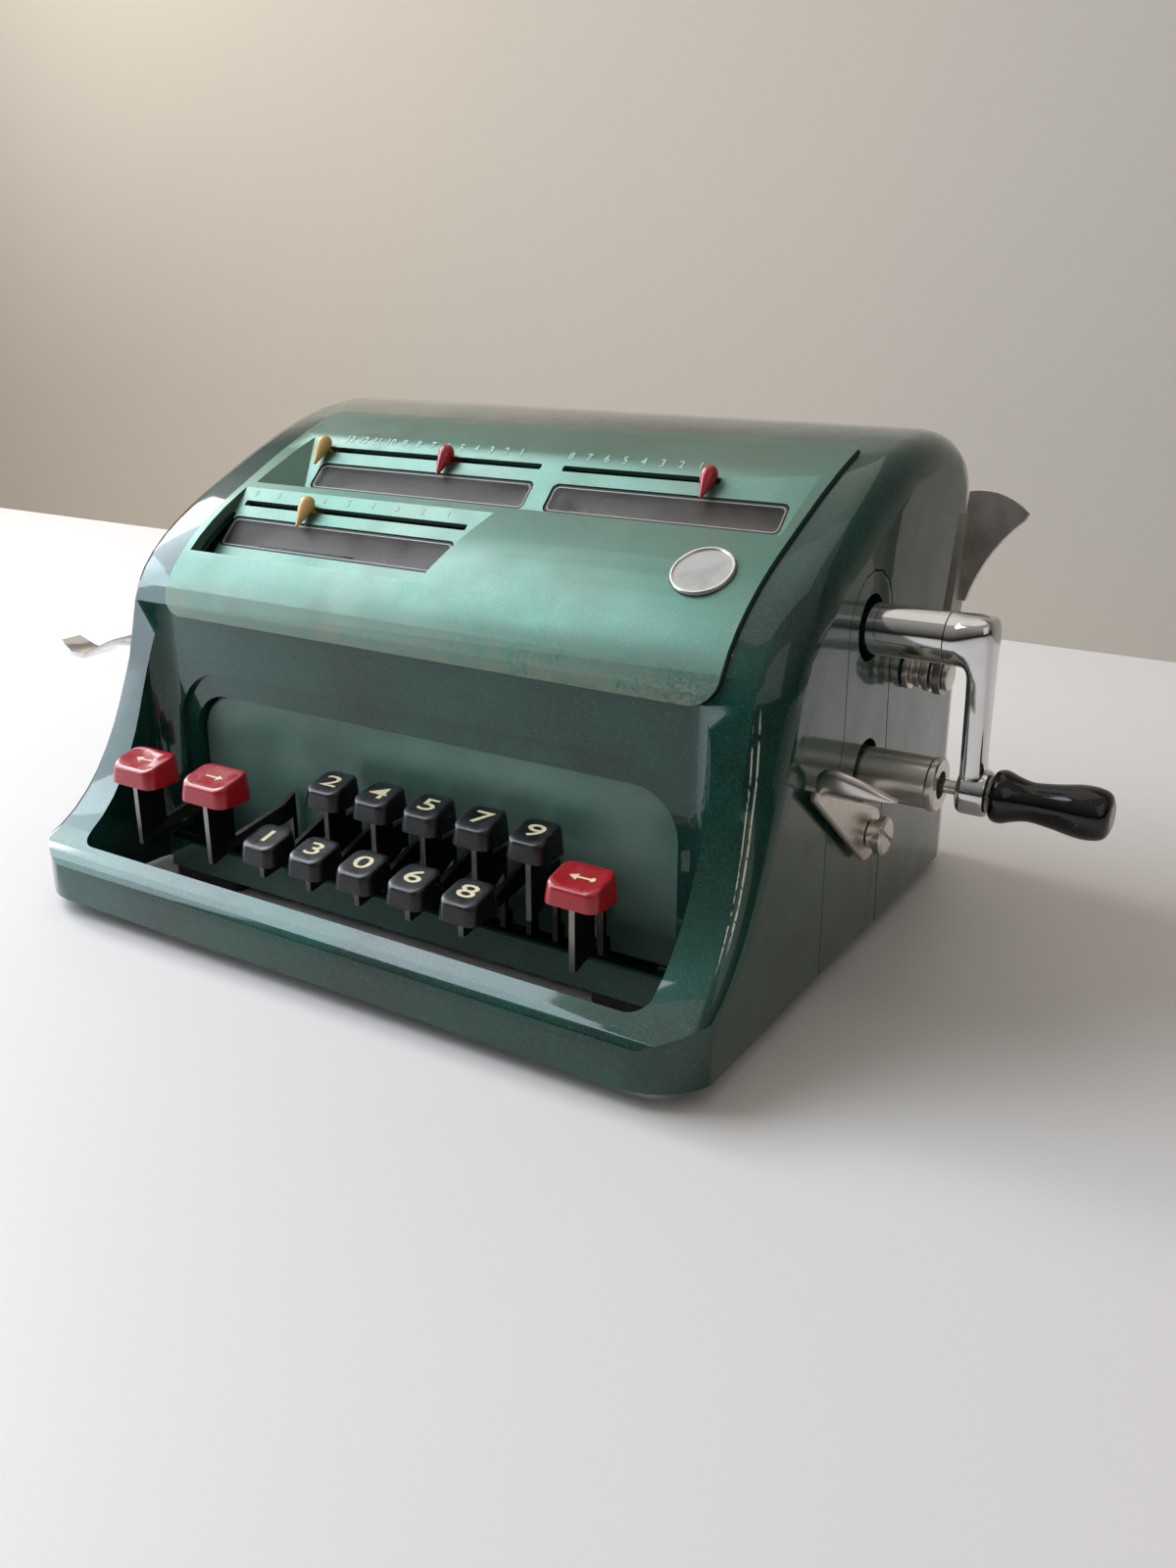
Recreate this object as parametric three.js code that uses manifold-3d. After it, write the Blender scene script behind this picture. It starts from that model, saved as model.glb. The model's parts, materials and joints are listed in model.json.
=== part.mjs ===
// Hand-cranked pinwheel calculator, in millimetres, +Z up, front towards -Y.
// Drawn on the machine's own centre plane: x = 0 is the middle, y = 0 the front bar, z = 0 the table.
// The finished group is moved so that its origin is the middle of its own footprint.
import * as THREE from 'three';
import { mergeVertices } from 'three/addons/utils/BufferGeometryUtils.js';
import Module from 'manifold-3d';

const wasm = await Module();
wasm.setup();

// Clearances
const SEAT_GAP = 0.3; // between a piece and what it rests on
const SEAM_GAP = 0.4; // round a panel set into the casing
const RUN_GAP = 0.35; // between a shaft and its bearing
const THROUGH = 3; // how far a cutting tool runs past the surface it cuts

// Casing
const BODY_HALF = 121.25; // half width at the foot
const BODY_MIDDLE = -2.25; // the casing reaches further out on the left than on the right
const BODY_DEPTH = 201;
const BODY_LIFT = 5; // casing rim above the table
const WALL = 3.5;
const SIDE_DRAFT = 0.01; // the sides lean in by this much per millimetre of height
const BAR_DEPTH = 8; // front bar, front to back
const BAR_HEIGHT = 14; // straight front of the bar
const NOSE_END = 12; // front to back, the rounded nose of the bar and side rails
const PLAN_CORNER = 20; // front corners seen from above
const REAR_CORNER = 19.5;
const BAY_HALF = 104.25; // opening between the side rails
const BAY_CORNER = 9;
const BAR_CORNER = 6; // of the bay, behind the front bar
const FRONT_FACE = 48; // upright face behind the keys
const FACE_TOP = 92.6; // where the upright face turns into the shoulder
const FRONT_WALL = 8.5;
const CREST = { y: 158, z: 148.9 }; // where the top turns down to the rear
const ABOVE = CREST.z + 20; // a level clear above the whole casing
const BODY_LEFT = BODY_MIDDLE - BODY_HALF;
const BODY_RIGHT = BODY_MIDDLE + BODY_HALF;

// Key well and key panel
const WELL_HALF = BAY_HALF - 8.75; // shallow step round the key panel
const WELL_TOP = 72;
const WELL_CORNER = 19;
const WELL_STEP = 1.8;
const PANEL_HALF = WELL_HALF - 5;
const PANEL_TOP = 63.8;
const PANEL_CORNER = 14.5;
const PANEL_THICK = 2.6;
const PANEL_SET = 4.9; // panel front behind the casing's front face
const PANEL_BOTTOM = 10;

// Base pan and feet
const PAN_BOTTOM = 5;
const PAN_SHEET = 1.5;
const PAN_CORNER = 5;
const APRON = { half: BAY_HALF - 3.75, front: 38, back: 45, top: 14.7 }; // upturned front of the pan
const NECK_TOP = 9.5; // rim of the pan where it passes under the key panel
const RIM_TOP = 12.5; // rim of the pan inside the casing
const FOOT = { half: 15, depth: 24, x: 83.5, front: 52, rear: BODY_DEPTH - 26 };

// Top cover
const COVER_HALF = 100;
const COVER_LOW = 90; // lower front edge
const COVER_BACK = 136; // rear edge
const COVER_PROUD = 1.4; // stands out of the casing by this much
const COVER_SHEET = 3.2;
const COVER_CORNER = 8;
const LEDGE = 4; // casing ledge under the cover's rim

// Recesses in the cover, each a V whose long face holds a window. Places along x are counted
// from the cover's nearer end where a piece keeps its distance from that end.
const UPPER = {
  top: [118, 142.2], trough: [99, 124], lip: [87, 127.6],
  left: { top: 5.5 - COVER_HALF, trough: 15.5 - COVER_HALF, lip: 4 - COVER_HALF },
  right: { top: COVER_HALF - 3.5, trough: COVER_HALF - 8, lip: COVER_HALF - 2.5 },
};
const LOWER = {
  top: [85, 126], trough: [63, 105], lip: [57.5, 109.2],
  left: { top: 3 - COVER_HALF, trough: 3.6 - COVER_HALF, lip: 3 - COVER_HALF },
  right: { top: 5, trough: -1, lip: -3 },
};
const POCKET_WALL = 2;
const WINDOWS = [
  { name: 'product_window_pane', recess: UPPER, x0: 16.5 - COVER_HALF, x1: 4.6, s0: 14, s1: 25 },
  { name: 'counter_window_pane', recess: UPPER, x0: 11.6, x1: COVER_HALF - 9, s0: 14, s1: 25 },
  { name: 'setting_window_pane', recess: LOWER, x0: 5 - COVER_HALF, x1: -3, s0: 11.8, s1: 24 },
];
const WINDOW_CORNER = 2.2;
const PANE_THICK = 1.2;
const SLOT_WIDTH = 2.2;
const SLOTS = [
  { recess: UPPER, s: 8.2, x0: 12.5 - COVER_HALF, x1: 4 },
  { recess: UPPER, s: 8.2, x0: 12, x1: 66.5 },
  { recess: LOWER, s: 6.4, x0: 6.5 - COVER_HALF, x1: -2 },
];
const POINTERS = [
  { name: 'product_pointer_left', slot: 0, x: 15.4 - COVER_HALF, colour: 0xd9b56a },
  { name: 'product_pointer_right', slot: 0, x: -32, colour: 0xb02a30 },
  { name: 'counter_pointer', slot: 1, x: 63.6, colour: 0xb02a30 },
  { name: 'setting_pointer', slot: 2, x: -64.5, colour: 0xd9b56a },
];
const POINTER = { head: 2.6, lift: 0.6, lean: 5, neck: 0.85, foot: 2.2, footThick: 1 };
const MASK_DROP = 6; // dial plates behind the recess faces
const MASK_THICK = 1;
const DIALS = [
  { recess: UPPER, s: 22.6, x0: 28 - COVER_HALF, x1: -3, wheels: 13 },
  { recess: UPPER, s: 22.6, x0: 23, x1: 71.5, wheels: 8 },
  { recess: LOWER, s: 20.6, x0: 16 - COVER_HALF, x1: -43, wheels: 9 },
];
const DIAL_SLOT = 4.6;
const WHEEL_RADIUS = 7.6;
const WHEEL_GAP = 0.7;
const WHEEL_SHAFT = 2.6;
const BADGE = { x: COVER_HALF - 17.2, y: 71.1, radius: 9, thick: 0.8 };

// Keys
const KEY_PIVOT = { y: 95, z: 14.5, shaft: 2 };
const KEY_PITCH = 18.6;
const KEY_MIDDLE = 2.5;
const LEVER_THICK = 1.8;
const FRONT_ROW = { y: 20.8, top: 35.8, labels: ['1', '3', '0', '6', '8'] };
const BACK_ROW = { y: 40, top: 49, labels: ['2', '4', '5', '7', '9'] };
const NUMBER_CAP = { width: 13.6, depth: 13.6, height: 7.8, stem: [-3.6, 4.4] };
const SHIFT_CAP = { width: 19.5, depth: 14.5, height: 7.8, stem: [-5, 5.5] };
const CLEAR_CAP = { width: 17.4, depth: 13.8, height: 7.2, stem: [-4.6, 5.5] };
const SHIFT_LEFT = BODY_MIDDLE - BAY_HALF + 14.8; // beside the bay's left end
const SHIFT_RIGHT = (SHIFT_LEFT + KEY_MIDDLE - 2 * KEY_PITCH) / 2 + 2.9; // between it and the first number
const CAP_TILT = 0.23; // rise of a cap's top per millimetre towards the rear
const DISH = { radius: 42, depth: 0.75 };
const RED_KEYS = [
  { label: 'shift_left', x: SHIFT_LEFT, y: 25.5, top: 48.2, cap: SHIFT_CAP, jog: 7 },
  { label: 'shift_right', x: SHIFT_RIGHT, y: 25.5, top: 48.2, cap: SHIFT_CAP, jog: 7 },
  { label: 'clear', x: BODY_MIDDLE + BAY_HALF - 28.5, y: 25.2, top: 46.4, cap: CLEAR_CAP, jog: -9 },
];
const DROP = { front: 49.6, back: 51.4 }; // upright part of each lever, in front of the panel
const LEVER_LOW = { bottom: 10, top: 14 };
const ARM_END = { bottom: 28, top: 36 }; // height of every arm where it turns down into its drop
const JOG = { front: 31.5, back: 46 }; // stretch in which the red keys' arms step sideways

// Crank, on the right side
const CRANK = { y: 105, z: 101.4 };
const HANDLE = { y: 107, z: 58.9 };
const HUB_RADIUS = 7.2;
const ARM = { inner: 146.2, thick: 6.6, boss: 8.4, bossRadius: 6.6 };
const HUB_END = ARM.inner - 6.2;
const GRIP = { start: ARM.inner + ARM.boss + 0.9, length: 31.5 };
const POST = { radius: 7.4, ring: 7.9, end: ARM.inner - 5.4, bore: 4, boreDepth: 7 };
const PIN = { radius: 2, tip: POST.end + SEAT_GAP };
const OPENING_RADIUS = 9.5;

// Arched strip let into the right side, round the crank and the clearing lever
const STRIP = { archRadius: 15.8, neck: 75, waist: 50, footFront: 80, footBack: 122.8, backWaist: 60 };

// Clearing levers
const FAN = { y: 136, z: 82.3, x0: 127.8, x1: 130.2, lean: 13, stud: 3 };
const SMALL = { y: 105, z: 41, x0: 120.4, x1: 122, screw: 2.6 };
const LEFT = { y: 84, z: 72, x: -111.5, thick: 1.6, pin: 2, slot: [53.6, 60, 63, 79] };

// Frames, shafts, rotor and gears inside
const FRAME = {
  x: 106.5, thick: 2.5, front: 66, back: BODY_DEPTH - 18, top: 112, brackets: [8, 75],
  ties: [{ y: BODY_DEPTH - 27, z: 32 }, { y: BODY_DEPTH - 29, z: 100 }],
};
const FIXED_SCREW = 2; // tail of a post or pivot, riveted in the frame
const CRANK_JOURNAL = 4;
const ROTOR = { y: 129.6, z: 78, discs: 9, radius: 24, pin: 3, shaft: 4 };
const GEAR = { teeth: 20, x0: 97, width: 6, depth: 3.2 };

// Colours
const DARK_GREEN = { color: 0x174a3a, roughness: 0.28, metalness: 0.35 };
const LIGHT_GREEN = { color: 0x5da58a, roughness: 0.42, metalness: 0.45 };
const PANEL_GREEN = { color: 0x4d7f6c, roughness: 0.5, metalness: 0.35 };
const BLACK_STEEL = { color: 0x1c1c1c, roughness: 0.5, metalness: 0.6 };
const BLACK_GLOSS = { color: 0x101113, roughness: 0.2, metalness: 0 };
const RED_GLOSS = { color: 0xa31e26, roughness: 0.25, metalness: 0 };
const CHROME = { color: 0xc9c9c9, roughness: 0.12, metalness: 1 };
const STEEL = { color: 0x9a9894, roughness: 0.35, metalness: 1 };
const RUBBER = { color: 0x141414, roughness: 0.85, metalness: 0 };
const BRASS = { color: 0xa98a4c, roughness: 0.4, metalness: 1 };
const DIAL_GREY = { color: 0x8f8580, roughness: 0.6, metalness: 0.2 };
const CLEAR = { color: 0xb9b6b0, roughness: 0.1, metalness: 0, transparent: true, opacity: 0.35 };

// Model group and the helper that names a piece and puts it in
const model = new THREE.Group();
function add(name, solid, finish) {
  const mesh = new THREE.Mesh(toGeometry(solid), new THREE.MeshStandardMaterial(finish));
  mesh.name = name;
  model.add(mesh);
  return mesh;
}

// A closed geometry becomes a solid with its faces pointing out
function toSolid(geometry) {
  const bare = geometry.clone();
  bare.deleteAttribute('normal');
  bare.deleteAttribute('uv');
  const merged = mergeVertices(bare, 1e-4);
  const vertProperties = new Float32Array(merged.attributes.position.array);
  const index = merged.index.array;
  const tris = [];
  for (let i = 0; i < index.length; i += 3) {
    const [a, b, c] = [index[i], index[i + 1], index[i + 2]];
    if (a !== b && b !== c && a !== c) tris.push(a, b, c);
  }
  if (signedVolume(vertProperties, tris) < 0) {
    for (let i = 0; i < tris.length; i += 3) [tris[i], tris[i + 1]] = [tris[i + 1], tris[i]];
  }
  return new wasm.Manifold(new wasm.Mesh({ numProp: 3, vertProperties, triVerts: new Uint32Array(tris) }));
}

function signedVolume(p, tris) {
  let sum = 0;
  for (let i = 0; i < tris.length; i += 3) {
    const [a, b, c] = [tris[i] * 3, tris[i + 1] * 3, tris[i + 2] * 3];
    sum += p[a] * (p[b + 1] * p[c + 2] - p[b + 2] * p[c + 1])
      - p[a + 1] * (p[b] * p[c + 2] - p[b + 2] * p[c])
      + p[a + 2] * (p[b] * p[c + 1] - p[b + 1] * p[c]);
  }
  return sum / 6;
}

function toGeometry(solid) {
  const mesh = solid.getMesh();
  const geometry = new THREE.BufferGeometry();
  geometry.setAttribute('position', new THREE.BufferAttribute(new Float32Array(mesh.vertProperties), 3));
  geometry.setIndex(new THREE.BufferAttribute(new Uint32Array(mesh.triVerts), 1));
  geometry.computeVertexNormals();
  return geometry;
}

const union = (solids) => solids.reduce((a, b) => a.add(b));
const without = (solid, tools) => tools.reduce((a, b) => a.subtract(b), solid);

// Extrusions of a flat outline along each axis
const SIDEWAYS = new THREE.Matrix4().set(0, 0, 1, 0, 1, 0, 0, 0, 0, 1, 0, 0, 0, 0, 0, 1);
function extrude(shape, depth, { steps = 4, bevel = 0 } = {}) {
  const settings = { depth: depth - 2 * bevel, curveSegments: steps, bevelEnabled: bevel > 0, steps: 1 };
  if (bevel) {
    const edge = { bevelSize: bevel, bevelThickness: bevel, bevelOffset: -bevel, bevelSegments: 2 };
    Object.assign(settings, edge);
  }
  return new THREE.ExtrudeGeometry(shape, settings).translate(0, 0, bevel);
}
// An outline in (y, z), run along X
function alongX(shape, x0, x1, options) {
  return toSolid(extrude(shape, x1 - x0, options).applyMatrix4(SIDEWAYS).translate(x0, 0, 0));
}
// An outline in (x, z), run along Y
function alongY(shape, y0, y1, options) {
  return toSolid(extrude(shape, y1 - y0, options).rotateX(Math.PI / 2).translate(0, y1, 0));
}
// An outline in (x, y), run along Z
function alongZ(shape, z0, z1, options) {
  return toSolid(extrude(shape, z1 - z0, options).translate(0, 0, z0));
}

function polygon(points) {
  return new THREE.Shape(points.map(([a, b]) => new THREE.Vector2(a, b)));
}

// Rectangle with its own radius at each corner: low left, low right, high right, high left
function roundedRect(x0, y0, x1, y1, radii) {
  const [a, b, c, d] = Array.isArray(radii) ? radii : [radii, radii, radii, radii];
  const shape = new THREE.Shape();
  shape.moveTo(x0 + a, y0).lineTo(x1 - b, y0);
  if (b) shape.absarc(x1 - b, y0 + b, b, -Math.PI / 2, 0);
  shape.lineTo(x1, y1 - c);
  if (c) shape.absarc(x1 - c, y1 - c, c, 0, Math.PI / 2);
  shape.lineTo(x0 + d, y1);
  if (d) shape.absarc(x0 + d, y1 - d, d, Math.PI / 2, Math.PI);
  shape.lineTo(x0, y0 + a);
  if (a) shape.absarc(x0 + a, y0 + a, a, Math.PI, Math.PI * 1.5);
  return shape;
}

function disc(y, z, radius) {
  return new THREE.Shape().absarc(y, z, radius, 0, Math.PI * 2);
}
const rodX = (y, z, radius, x0, x1, steps = 10) => alongX(disc(y, z, radius), x0, x1, { steps });

// A turned piece on an axis along X; the profile is a list of [x, radius]
function turnedX(profile, y, z, sides = 24) {
  const points = profile.map(([x, r]) => new THREE.Vector2(r, x));
  return toSolid(new THREE.LatheGeometry(points, sides).rotateZ(-Math.PI / 2).translate(0, y, z));
}

// Skin through rings of points, closed by a cap at each end
function loft(rings) {
  const n = rings[0].length;
  const position = rings.flat().flatMap((p) => [p.x, p.y, p.z]);
  const index = [];
  for (let r = 0; r + 1 < rings.length; r++) {
    for (let i = 0; i < n; i++) {
      const [a, b] = [r * n + i, r * n + ((i + 1) % n)];
      index.push(a, b, b + n, a, b + n, a + n);
    }
  }
  for (const [ring, flip] of [[0, true], [rings.length - 1, false]]) {
    for (const t of capTriangles(rings[ring])) {
      const [a, b, c] = t.map((i) => ring * n + i);
      index.push(...(flip ? [a, c, b] : [a, b, c]));
    }
  }
  const geometry = new THREE.BufferGeometry();
  geometry.setAttribute('position', new THREE.BufferAttribute(new Float32Array(position), 3));
  geometry.setIndex(index);
  return toSolid(geometry);
}

// Cap triangles of a flat ring, turned the way the ring runs
function capTriangles(ring) {
  const normal = new THREE.Vector3();
  ring.forEach((p, i) => normal.add(new THREE.Vector3().crossVectors(p, ring[(i + 1) % ring.length])));
  normal.normalize();
  const u = ring[1].clone().sub(ring[0]).normalize();
  const v = new THREE.Vector3().crossVectors(normal, u);
  const flat = ring.map((p) => new THREE.Vector2(p.dot(u), p.dot(v)));
  return THREE.ShapeUtils.triangulateShape(flat, []);
}

// Casing outline in (y, z): front bar, sweep up to the face, shoulder, top and rear.
// Each stretch says how far its edge is drawn in at the sides (setback) and down (drop),
// and how much of that is a straight chamfer (crease).
function casingStretches() {
  const v = (y, z) => new THREE.Vector2(y, z);
  const bezier = (a, b, c, d) => new THREE.CubicBezierCurve(v(...a), v(...b), v(...c), v(...d));
  const line = (a, b) => new THREE.LineCurve(v(...a), v(...b));
  const bar = [3, 2.5, 0];
  const face = [8, 11, 0.5];
  const top = [10, 9, 0.1];
  const rear = [REAR_CORNER, REAR_CORNER, 0];
  const nose = [6, 20.5];
  const sweepTop = [43.2, 74.6];
  const faceTop = [FRONT_FACE, FACE_TOP];
  const shoulder = [81.5, 122.8];
  const crest = [CREST.y, CREST.z];
  const beforeCrest = [CREST.y - 25, CREST.z - 0.7];
  const afterCrest = [BODY_DEPTH - 16, CREST.z + 0.7];
  const back = [BODY_DEPTH, 112];
  return [
    { curve: bezier([0, BAR_HEIGHT], [0, 18.2], [2.4, 19], nose), steps: 4, from: bar, to: bar },
    { curve: bezier(nose, [26.7, 27.8], [36.7, 51.5], sweepTop), steps: 9, from: bar, to: face },
    { curve: line(sweepTop, faceTop), steps: 1, from: face, to: face },
    { curve: bezier(faceTop, [51.4, 105.2], [67, 115.9], shoulder), steps: 7, from: face, to: top },
    { curve: bezier(shoulder, [105.9, 134.4], beforeCrest, crest), steps: 6, from: top, to: top },
    { curve: bezier(crest, afterCrest, [BODY_DEPTH, 143], back), steps: 7, from: top, to: rear },
  ];
}

// Points of the casing outline, each with its outward normal and its edge values
function casingOutline() {
  const points = [];
  for (const { curve, steps, from, to } of casingStretches()) {
    for (let i = points.length ? 1 : 0; i <= steps; i++) {
      const t = i / steps;
      const p = curve.getPoint(t);
      const tangent = curve.getTangent(t);
      const edge = from.map((value, k) => THREE.MathUtils.lerp(value, to[k], t));
      points.push({ y: p.x, z: p.y, ny: -tangent.y, nz: tangent.x, edge });
    }
  }
  return points;
}

// The casing's solid form down to a given level, its skin moved in (or out) by inset.
// A moved skin starts behind the nose of the front bar, which is too tight to be offset.
function casingForm(inset, bottom) {
  const outline = casingOutline().filter((p) => inset === 0 || p.y > NOSE_END);
  const stations = [0, 0.35, 0.6, 0.8, 0.93, 1];
  const half = BODY_HALF - inset;
  const ring = (u, side) => {
    const place = ({ y, z, ny, nz, edge: [setback, drop, crease] }, level) => {
      const round = crease * u + (1 - crease) * (1 - Math.sqrt(Math.max(0, 1 - u * u)));
      const depth = inset + drop * round;
      const height = level ?? z - nz * depth;
      const x = (half - setback * (1 - u)) - SIDE_DRAFT * height;
      return new THREE.Vector3(BODY_MIDDLE + side * x, y - ny * depth, height);
    };
    const last = outline[outline.length - 1];
    return [place(outline[0], bottom), ...outline.map((p) => place(p)), place(last, bottom)];
  };
  const left = [...stations].reverse().map((u) => ring(u, -1));
  const right = stations.map((u) => ring(u, 1));
  return loft([...left, ...right]);
}

// Arched outline on the right side, grown or shrunk by the gap
function stripOutline(grow) {
  const { archRadius, neck, waist, footFront, footBack, backWaist } = STRIP;
  const r = archRadius + grow;
  const low = BODY_LIFT - THROUGH;
  const bend = (neck - waist) / 2;
  const shape = new THREE.Shape();
  shape.moveTo(footFront - grow, low);
  shape.lineTo(footFront - grow, waist);
  shape.bezierCurveTo(footFront - grow, waist + bend, CRANK.y - r, neck - bend, CRANK.y - r, neck);
  shape.absarc(CRANK.y, CRANK.z, r, Math.PI, 0, true);
  shape.lineTo(footBack + grow, backWaist);
  shape.lineTo(footBack + grow, low);
  return shape;
}

// Outline of the cover opening, from the front and from above
function coverWindow(grow, inset) {
  const half = COVER_HALF + grow - inset;
  const low = COVER_LOW - grow + inset;
  const front = roundedRect(-half, low, half, ABOVE, [COVER_CORNER - inset, COVER_CORNER - inset, 0, 0]);
  const plan = roundedRect(-half, 20, half, COVER_BACK + grow - inset, [0, 0, 4, 4]);
  return alongY(front, 30, BODY_DEPTH - 40).intersect(alongZ(plan, 60, ABOVE));
}

// Point on a recess face at distance s from its top edge, sunk by depth
function onFace(recess, s, depth = 0) {
  const [dy, dz] = faceDirection(recess);
  return { y: recess.top[0] + dy * s - dz * depth, z: recess.top[1] + dz * s + dy * depth };
}
function faceDirection(recess) {
  const [dy, dz] = [recess.trough[0] - recess.top[0], recess.trough[1] - recess.top[1]];
  const length = Math.hypot(dy, dz);
  return [dy / length, dz / length];
}

// A solid drawn flat in (x, s) and laid on a recess face; depth counts down into the cover
function onRecess(recess, shape, depth0, depth1, options) {
  const geometry = extrude(shape, depth1 - depth0, options).translate(0, 0, depth0);
  return toSolid(geometry.applyMatrix4(faceBasis(recess)));
}

// Matrix that lays a drawing in (x, s, depth) on a recess face
function faceBasis(recess) {
  const [dy, dz] = faceDirection(recess);
  const [y, z] = recess.top;
  return new THREE.Matrix4().set(1, 0, 0, 0, 0, dy, -dz, y, 0, dz, dy, z, 0, 0, 0, 1);
}

// Three-sided tool with sloping ends, from a recess's corners moved out by grow
function recessTool({ top, trough, lip, left, right }, grow) {
  const [dy, dz] = [trough[0] - top[0], trough[1] - top[1]];
  const long = Math.hypot(dy, dz);
  const down = [dz / long, -dy / long];
  const at = (x, [y, z]) => new THREE.Vector3(x, y, z);
  const sink = ([y, z]) => [y - down[0] * grow, z - down[1] * grow];
  const high = sink(top);
  const deep = [sink(trough)[0] - grow * 0.2, sink(trough)[1] - grow * 0.4];
  const front = [lip[0] - grow, lip[1] - grow];
  const lift = 9;
  const overFront = [front[0] - lift * 0.6, front[1] + lift];
  const overHigh = [high[0] - lift * 0.4, high[1] + lift];
  const ring = (side, sign) => {
    const [x0, x1, x2] = [side.top, side.trough, side.lip].map((x) => x + sign * grow);
    return [at(x0, high), at(x1, deep), at(x2, front), at(x2, overFront), at(x0, overHigh)];
  };
  return loft([ring(left, -1), ring(right, 1)]);
}

// Casing: a shell with the key bay, cover opening, side slots and shaft holes cut through
function makeCasing(outer, inner) {
  const bayPlan = roundedRect(BODY_MIDDLE - BAY_HALF, BAR_DEPTH, BODY_MIDDLE + BAY_HALF, FRONT_FACE,
    [BAR_CORNER, BAR_CORNER, BAY_CORNER, BAY_CORNER]);
  const bay = alongZ(bayPlan, -THROUGH, FACE_TOP);
  const cavity = inner.trimByPlane([0, 1, 0], FRONT_FACE + FRONT_WALL);
  const arch = (half, top, r) =>
    roundedRect(BODY_MIDDLE - half, -THROUGH, BODY_MIDDLE + half, top, [0, 0, r, r]);
  const well = alongY(arch(WELL_HALF, WELL_TOP, WELL_CORNER), FRONT_FACE - THROUGH, FRONT_FACE + WELL_STEP);
  const panelHole = alongY(arch(PANEL_HALF + SEAM_GAP, PANEL_TOP + SEAM_GAP, PANEL_CORNER),
    FRONT_FACE - THROUGH, FRONT_FACE + FRONT_WALL + THROUGH);
  const underCover = casingForm(COVER_SHEET - COVER_PROUD + SEAT_GAP, -20);
  const coverSeat = coverWindow(SEAM_GAP, 0).subtract(underCover);
  const coverHole = coverWindow(SEAM_GAP, LEDGE);
  const stripSlot = alongX(stripOutline(SEAM_GAP), BODY_RIGHT - WALL * 3, BODY_RIGHT + THROUGH);
  const fanHole = rodX(FAN.y, FAN.z, FAN.stud + 1.5, FRAME.x, BODY_RIGHT + THROUGH, 10);
  const leftSlot = alongX(roundedRect(...LEFT.slot, 2), BODY_LEFT - THROUGH, LEFT.x + LEFT.thick + 1);
  return without(outer, [bay, cavity, well, panelHole, coverSeat, coverHole, stripSlot, fanHole, leftSlot]);
}

// Side strip: the same skin as the casing inside the arched outline, pierced for crank, post and lever
function makeStrip(outer, inner) {
  const blank = alongX(stripOutline(0), BODY_RIGHT - WALL * 3, BODY_RIGHT + THROUGH).intersect(outer);
  const holes = [[CRANK, OPENING_RADIUS], [HANDLE, OPENING_RADIUS], [SMALL, SMALL.screw + 2.2]];
  const tools = holes.map(([at, r]) => rodX(at.y, at.z, r, FRAME.x, BODY_RIGHT + THROUGH, 12));
  return without(blank, [inner, ...tools]);
}

// Top cover: a band of the casing's outline with two V-shaped recesses, slots and windows
function makeCover() {
  const outside = casingForm(-COVER_PROUD, 20);
  const band = outside.subtract(casingForm(COVER_SHEET - COVER_PROUD, 10)).intersect(coverWindow(0, 0));
  const pockets = [UPPER, LOWER].map((r) => recessTool(r, POCKET_WALL).intersect(outside));
  const inside = coverWindow(0, LEDGE + 1.2);
  const windowHoles = WINDOWS.map(({ recess, x0, x1, s0, s1 }) =>
    onRecess(recess, roundedRect(x0, s0, x1, s1, WINDOW_CORNER), -1, 9, { steps: 3 }));
  const half = SLOT_WIDTH / 2;
  const slotHoles = SLOTS.map(({ recess, s, x0, x1 }) =>
    onRecess(recess, roundedRect(x0, s - half, x1, s + half, 0.6), -1, 9, { steps: 2 }));
  const seatY = coverHeight(BADGE.y);
  const badgeSeat = badgeSolid(BADGE.radius + SEAT_GAP, -0.5, 2, seatY);
  const blank = union([band, ...pockets.map((p) => p.intersect(inside))]);
  const recesses = [recessTool(UPPER, 0), recessTool(LOWER, 0)];
  return without(blank, [...recesses, ...windowHoles, ...slotHoles, badgeSeat]);
}

// Height and slope of the cover's surface at a given y
function coverHeight(y) {
  const points = casingOutline().filter((p) => p.nz > 0.1 && p.z > COVER_LOW);
  const surface = points.map((p) => ({ y: p.y + p.ny * COVER_PROUD, z: p.z + p.nz * COVER_PROUD }));
  const next = surface.findIndex((p) => p.y > y);
  const [a, b] = [surface[next - 1], surface[next]];
  return { z: a.z + (b.z - a.z) * (y - a.y) / (b.y - a.y), slope: Math.atan2(b.z - a.z, b.y - a.y) };
}

function badgeSolid(radius, z0, z1, { z, slope }) {
  const geometry = new THREE.CylinderGeometry(radius, radius, z1 - z0, 28).rotateX(Math.PI / 2);
  geometry.translate(0, 0, (z0 + z1) / 2).rotateX(slope).translate(BADGE.x, BADGE.y, z);
  return toSolid(geometry);
}

// Window panes, sprung in behind the recess faces
function makePane({ recess, x0, x1, s0, s1 }) {
  const outline = roundedRect(x0 + SEAT_GAP, s0 + SEAT_GAP, x1 - SEAT_GAP, s1 - SEAT_GAP,
    WINDOW_CORNER - SEAT_GAP);
  return onRecess(recess, outline, 0.5, 0.5 + PANE_THICK, { steps: 3 });
}

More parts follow.
